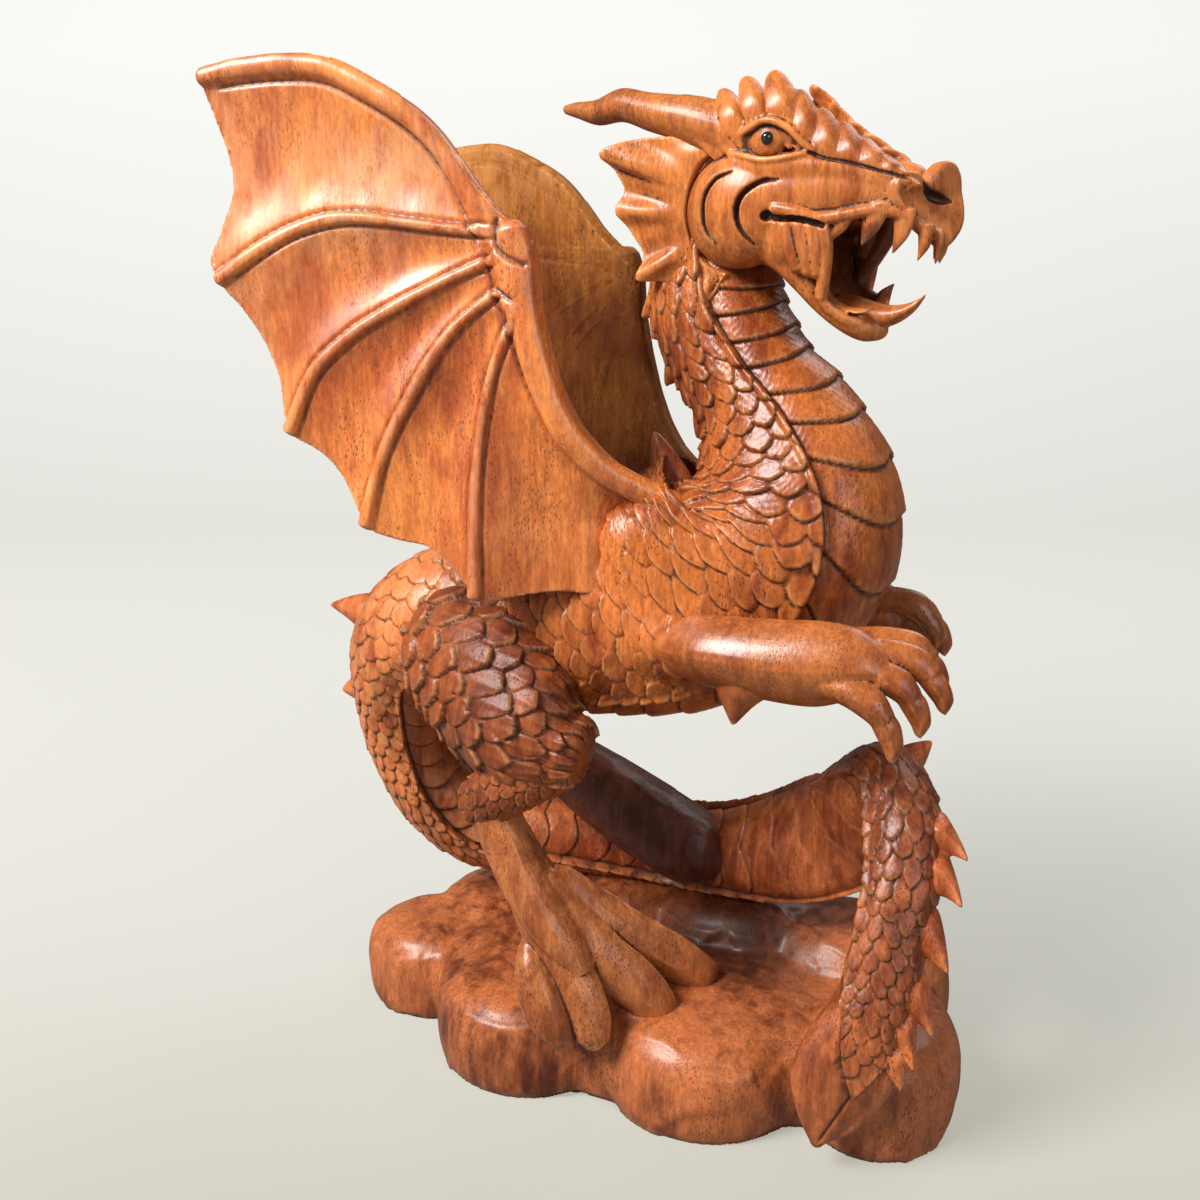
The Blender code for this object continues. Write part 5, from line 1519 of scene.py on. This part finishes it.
def noise(tree, stretch, scale=1.0, detail=2.0, roughness=0.5, distortion=0.0):
    """Soft cloudy pattern from 0 to 1 in the stretched coordinates."""
    return node(tree, "TexNoise", {
        "Vector": stretched(tree, stretch), "Scale": scale, "Detail": detail,
        "Roughness": roughness, "Distortion": distortion}).outputs["Fac"]


print("node groups so far:", len(bpy.data.node_groups))

# %% Grain, pores and figure as one group
IN_A_PORE = (0.035, 0.011, 0.005, 1)
wood, wood_in, wood_out = group("hardwood", [
    ("Light", "Color", (0.5, 0.2, 0.07, 1)), ("Deep", "Color", (0.2, 0.06, 0.02, 1)),
    ("Pore Strength", "Float", 0.8)],
    [("Color", "Color"), ("Pores", "Float"), ("Fibre", "Float")])
drift = noise(wood, (14, 14, 9), 1.6, detail=3.0, roughness=0.55)
bands = noise(wood, (110, 110, 28), 1.5, detail=4.0, roughness=0.6, distortion=0.4)
fibre = noise(wood, (700, 700, 40), detail=3.0, roughness=0.6)
speckle = noise(wood, (800, 800, 330), roughness=0.7)

# a pore is a long cell's middle, and it is wider where the timber is coarse
dashes = node(wood, "TexVoronoi", {"Vector": stretched(wood, (1250, 1250, 330)), "Scale": 1.0,
                                   "Randomness": 1.0}).outputs["Distance"]
size = ramp(wood, noise(wood, (60, 60, 25)), 0.32, 0.66, 0.06, 0.30)
pores = ramp(wood, maths(wood, "SUBTRACT", size, dashes), 0.0, 0.08)

# colour: deep to light with the broad figure, then fine fibres and speckles over it
tone = maths(wood, "ADD", maths(wood, "MULTIPLY", drift, 0.55),
             maths(wood, "MULTIPLY", bands, 0.45))
tone = ramp(wood, tone, 0.36, 0.62)
colour = blend(wood, tone, wood_in.outputs["Deep"], wood_in.outputs["Light"])
streak = maths(wood, "MULTIPLY", ramp(wood, fibre, 0.30, 0.72, 0.84, 1.12),
               ramp(wood, speckle, 0.32, 0.68, 0.82, 1.12))
colour = blend(wood, 1.0, colour, node(wood, "CombineColor", {
    "Red": streak, "Green": streak, "Blue": streak}).outputs["Color"], "MULTIPLY")
pores = maths(wood, "MULTIPLY", pores, wood_in.outputs["Pore Strength"])
colour = blend(wood, pores, colour, IN_A_PORE)
fill(wood, wood_out, {"Color": colour, "Pores": pores, "Fibre": fibre})
print("grain group:", len(wood.nodes), "nodes")

# %% Stain in the cuts, rubbed edges, painted shade and painted light as one group
staining_wear_light_tree, s_in, s_out = group("staining_wear_painted_shade_and_light", [
    ("Wood", "Color", (0.4, 0.2, 0.1, 1)), ("Staining And Shade", "Color", (0.03, 0.008, 0.004, 1)),
    ("Wear And Painted Light", "Color", (0.7, 0.32, 0.12, 1)), ("Staining And Shade Strength", "Float", 0.9),
    ("Wear And Light Strength", "Float", 0.6)],
    [("Color", "Color"), ("Staining And Shade Mask", "Float")])
staining_and_shade_value = node(staining_wear_light_tree, "Attribute", attribute_name="staining_and_painted_shade").outputs["Fac"]
wear_and_light_value = node(staining_wear_light_tree, "Attribute", attribute_name="worn_and_painted_light").outputs["Fac"]
mottle = noise(staining_wear_light_tree, (160, 160, 90), detail=3.0)
uneven = maths(staining_wear_light_tree, "MULTIPLY", maths(staining_wear_light_tree, "SUBTRACT", mottle, 0.5), 0.35)
staining_and_shade_mask = ramp(staining_wear_light_tree, maths(staining_wear_light_tree, "ADD", staining_and_shade_value, uneven), 0.10, 0.85)
staining_and_shade_mask = maths(staining_wear_light_tree, "MULTIPLY", staining_and_shade_mask, s_in.outputs["Staining And Shade Strength"])
wear_and_light_mask = maths(staining_wear_light_tree, "MULTIPLY", wear_and_light_value, ramp(staining_wear_light_tree, mottle, 0.35, 0.6))
wear_and_light_mask = maths(staining_wear_light_tree, "MULTIPLY", wear_and_light_mask, s_in.outputs["Wear And Light Strength"])
colour = blend(staining_wear_light_tree, wear_and_light_mask, s_in.outputs["Wood"], s_in.outputs["Wear And Painted Light"])
colour = blend(staining_wear_light_tree, staining_and_shade_mask, colour, s_in.outputs["Staining And Shade"])
fill(staining_wear_light_tree, s_out, {"Color": colour, "Staining And Shade Mask": staining_and_shade_mask})


print("stain group:", len(staining_wear_light_tree.nodes), "nodes")

# %% Wood material
def new_material(name):
    """Material with its node tree and its own shader."""
    material = bpy.data.materials.new(name)
    material.use_nodes = True
    return material, material.node_tree, material.node_tree.nodes["Principled BSDF"]


PORE_DEPTH = 0.0005       # metres
DRY_PORE, DRY_STAIN, DRY_FIBRE = 0.30, 0.18, 0.16     # roughness that each of them adds


def wood_material(name, light, deep, pore=0.8, rough=0.33, coat=0.1, staining_and_painted_shade=0.93, wear_and_light_strength=0.6,
                  staining_and_painted_shade_colour=(0.024, 0.006, 0.003), sheen=0.20,
                  shine=0.36, wear_and_painted_light_colour=(0.7, 0.32, 0.12)):
    """Oiled and waxed hardwood with its own pair of colours."""
    material, tree, shader = new_material(name)
    timber = node(tree, "Group", node_tree=wood, inputs={
        "Light": (*light, 1), "Deep": (*deep, 1), "Pore Strength": pore})
    # the stain colour also lays painted shade, and the rubbed colour painted light, where the stored
    # values ask for them
    finish = node(tree, "Group", node_tree=staining_wear_light_tree, inputs={
        "Wood": timber.outputs["Color"], "Staining And Shade Strength": staining_and_painted_shade, "Staining And Shade": (*staining_and_painted_shade_colour, 1),
        "Wear And Light Strength": wear_and_light_strength, "Wear And Painted Light": (*wear_and_painted_light_colour, 1)})
    dry = maths(tree, "ADD", maths(tree, "MULTIPLY", timber.outputs["Pores"], DRY_PORE),
                maths(tree, "MULTIPLY", finish.outputs["Staining And Shade Mask"], DRY_STAIN))
    fibres = maths(tree, "MULTIPLY", timber.outputs["Fibre"], DRY_FIBRE)
    relief = maths(tree, "SUBTRACT", maths(tree, "MULTIPLY", timber.outputs["Fibre"], 0.6),
                   timber.outputs["Pores"])
    bump = node(tree, "Bump", {"Height": relief, "Strength": 0.5, "Distance": PORE_DEPTH})
    fill(tree, shader, {
        "Base Color": finish.outputs["Color"],
        "Roughness": maths(tree, "ADD", maths(tree, "ADD", dry, fibres), rough - DRY_FIBRE / 2),
        "Normal": bump.outputs["Normal"], "Coat Weight": coat, "Coat Roughness": sheen,
        "Specular IOR Level": shine})
    return material


print("materials so far:", len(bpy.data.materials))


# %% [markdown]
# ## Finishes for the pieces
# It is all one timber, but the finisher's stain and the light wear differ: the wings are
# open orange-brown skin, the scaled body is redder and darker, the rock is duller, and the
# pupils are polished near-black beads. The left wing has two finishes: its inner side, the one
# in view, is a dull olive-brown copy of the wing's finish with shade painted into it, and its
# outer side is like the rest.

# %% Finishes
WOODS = [  # name, light colour, deep colour, what differs from common, pieces with this finish
    ("wing_wood", (0.86, 0.265, 0.055), (0.46, 0.088, 0.014),
     {"rough": 0.30, "coat": 0.7, "sheen": 0.45, "wear_and_painted_light_colour": (0.80, 0.42, 0.22)}, ["right_wing"]),
    # the left wing's inner side: a copy of the wing's finish with painted shade
    ("shaded_inner_wing_wood", (0.36, 0.125, 0.020), (0.20, 0.050, 0.007),
     {"rough": 0.50, "coat": 0.0, "staining_and_painted_shade_colour": (0.055, 0.008, 0.002), "shine": 0.10},
     ["left_wing"]),
    ("scaled_body_wood", (0.56, 0.155, 0.032), (0.20, 0.032, 0.006), {}, ["chest_and_neck"]),
    ("tail_wood", (0.74, 0.205, 0.060), (0.24, 0.042, 0.011), {},
     ["tail_and_rump", "ridge_spikes"]),
    ("head_wood", (0.62, 0.190, 0.042), (0.26, 0.050, 0.010),
     {"rough": 0.32, "wear_and_light_strength": 0.8, "wear_and_painted_light_colour": (0.76, 0.285, 0.085)},
     ["head", "right_frill", "left_frill"]),
    ("foreleg_wood", (0.44, 0.130, 0.032), (0.22, 0.044, 0.009), {"rough": 0.30, "coat": 0.3},
     ["right_foreleg", "left_foreleg"]),
    ("thigh_wood", (0.34, 0.085, 0.022), (0.12, 0.020, 0.005), {"rough": 0.41, "coat": 0.0},
     ["right_thigh", "left_thigh", "right_shin", "left_shin"]),
    ("foot_wood", (0.48, 0.155, 0.045), (0.22, 0.050, 0.013), {"pore": 0.9}, ["right_foot"]),
    ("shaded_foot_wood", (0.20, 0.062, 0.034), (0.070, 0.018, 0.011),
     {"rough": 0.40, "coat": 0.0}, ["left_foot"]),
    ("rock_wood", (0.47, 0.134, 0.042), (0.11, 0.020, 0.006), {"pore": 0.9, "rough": 0.38},
     ["rock"]),
    ("far_wing_wood", (0.66, 0.200, 0.042), (0.30, 0.058, 0.010), {"rough": 0.34},
     ["left_wing"]),
]
for name, light, deep, differs, wearers in WOODS:
    material = wood_material(name, light, deep, **differs)
    for wearer in wearers:
        pieces[wearer].data.materials.append(material)
# faces on the left wing's inner side take its first finish, the copy with painted shade
for face in pieces["left_wing"].data.polygons:
    face.material_index = 1 if face.normal.y > 0.1 else 0
print("without a finish:", [name for name, o in pieces.items() if not o.data.materials])

# %% Pupil beads
# the beads are nearly black, with a trace of green that varies within each
bead, tree, shader = new_material("pupil_bead")
speck = ramp(tree, noise(tree, (900, 900, 900)), 0.4, 0.7)
fill(tree, shader, {
    "Base Color": blend(tree, speck, (0.004, 0.010, 0.008, 1), (0.014, 0.024, 0.018, 1)),
    "Roughness": 0.12, "Coat Weight": 0.6})
for name in ("right_pupil", "left_pupil"):
    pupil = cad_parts[name]
    pupil.data.materials.clear()
    pupil.data.materials.append(bead)
    pupil.data.shade_smooth()
print("finishes:", len(bpy.data.materials))

# %% [markdown]
# ## Floor, light and camera
# A pale sweep stands under and behind the statue. Its paper is grey to the light, so that it
# throws little of it back at the wood, and it glows only for the camera. The world beyond its
# edges is a dim even light that also looks brighter to the camera. One large soft light from
# the upper left front draws the highlights on the wings and horn, a weaker one fills from the
# right, and a dim one from behind keeps the outline clear. The camera stands where the
# photograph was taken from: turned 23 degrees towards the dragon's front and tipped 12.5
# degrees down. Lengths of the sweep and the lamps are in metres.

# %% Sweep
VIEW_TURN = math.radians(23)
FLOOR_FRONT, BEND_START, BEND_RADIUS = -3.0, 1.6, 0.9
WALL_TOP, HALF_WIDTH = 4.0, 4.0
GREY_FRONT, GREY_BACK = (0.19, 0.19, 0.18, 1), (0.22, 0.22, 0.22, 1)
GLOW_FRONT, GLOW_BACK = (0.365, 0.358, 0.296, 1), (0.81, 0.805, 0.775, 1)
profile = [(FLOOR_FRONT, 0.0), (BEND_START, 0.0)]
profile += [(BEND_START + BEND_RADIUS * math.sin(a), BEND_RADIUS - BEND_RADIUS * math.cos(a))
            for a in np.linspace(0.1, math.pi / 2, 12)]
profile.append((BEND_START + BEND_RADIUS, WALL_TOP))
verts = [(x, y, z) for y, z in profile for x in (-HALF_WIDTH, HALF_WIDTH)]
faces = [(2 * i, 2 * i + 1, 2 * i + 3, 2 * i + 2) for i in range(len(profile) - 1)]
sweep = add_piece("sweep", verts, faces)
sweep.rotation_euler = (0, 0, VIEW_TURN)
sweep.data.shade_smooth()

# back runs from 0 in front of the statue to 1 far behind it or high on the wall
paper, tree, shader = new_material("pale_sweep")
spot = node(tree, "SeparateXYZ", {"Vector": stretched(tree, (1, 1, 1))})
beyond = maths(tree, "MAXIMUM", maths(tree, "ADD", spot.outputs["Y"], 0.1), 0.0)
away = maths(tree, "DIVIDE", maths(tree, "MULTIPLY", beyond, 0.72),
             maths(tree, "ADD", beyond, 0.45))
risen = node(tree, "MapRange", {"Value": spot.outputs["Z"], "From Min": 0.0, "From Max": 1.15,
                                "To Max": 0.43}).outputs["Result"]
back = maths(tree, "ADD", away, risen, clamp=True)
fill(tree, shader, {
    "Base Color": blend(tree, back, GREY_FRONT, GREY_BACK), "Roughness": 0.9,
    "Emission Color": blend(tree, back, GLOW_FRONT, GLOW_BACK),
    "Emission Strength": node(tree, "LightPath").outputs["Is Camera Ray"]})
sweep.data.materials.append(paper)
print("sweep: %d faces" % len(faces))

# %% Lights
def soft_light(name, place, size, power, aim=(0.0, 0.0, 0.2), tint=(1.0, 1.0, 1.0)):
    """Square lamp that faces a point of the statue, with its side in metres, power in watts."""
    lamp = bpy.data.lights.new(name, "AREA")
    lamp.size = size
    lamp.energy = power
    lamp.color = tint
    obj = bpy.data.objects.new(name, lamp)
    bpy.context.scene.collection.objects.link(obj)
    obj.location = place
    obj.rotation_euler = (Vector(aim) - Vector(place)).to_track_quat("-Z", "Y").to_euler()


soft_light("key", (-1.0, -1.4, 1.7), size=0.9, power=92, tint=(1.0, 0.98, 0.95))
soft_light("fill", (1.5, -1.1, 0.8), size=1.0, power=9)
soft_light("back", (0.6, 1.1, 1.7), size=1.0, power=10)
SKY_LIGHT, SKY_IN_SIGHT = 0.20, 0.62      # strength for all rays, and what the camera sees more
world = bpy.data.worlds.new("studio")
bpy.context.scene.world = world
world.use_nodes = True
tree = world.node_tree
in_sight = node(tree, "LightPath").outputs["Is Camera Ray"]
fill(tree, tree.nodes["Background"], {
    "Color": (0.97, 0.98, 1.0, 1),
    "Strength": maths(tree, "ADD", maths(tree, "MULTIPLY", in_sight, SKY_IN_SIGHT), SKY_LIGHT)})
print("lights:", len(bpy.data.lights))

# %% Camera
VIEW_TIP = math.radians(12.5)
SENSOR = 36               # millimetres
FOCAL_PIXELS, PHOTO_PIXELS = 1110, 1200   # focal length and width of the photograph
STANDS_AT = np.array([157.53, -427.43, 315.0])
lens = bpy.data.cameras.new("camera")
lens.lens = FOCAL_PIXELS / PHOTO_PIXELS * SENSOR
lens.sensor_width = SENSOR
lens.clip_start = 0.01
camera = bpy.data.objects.new("camera", lens)
bpy.context.scene.collection.objects.link(camera)
level = Vector((-math.sin(VIEW_TURN), math.cos(VIEW_TURN), 0))
forward = level * math.cos(VIEW_TIP) + Vector((0, 0, -math.sin(VIEW_TIP)))
camera.location = to_frame(STANDS_AT)
camera.rotation_euler = forward.to_track_quat("-Z", "Y").to_euler()
bpy.context.scene.camera = camera
bpy.context.scene.view_settings.view_transform = "Standard"
print("camera at", [round(v, 4) for v in camera.location])

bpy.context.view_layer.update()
print("made in %.0f s" % (time.time() - started))
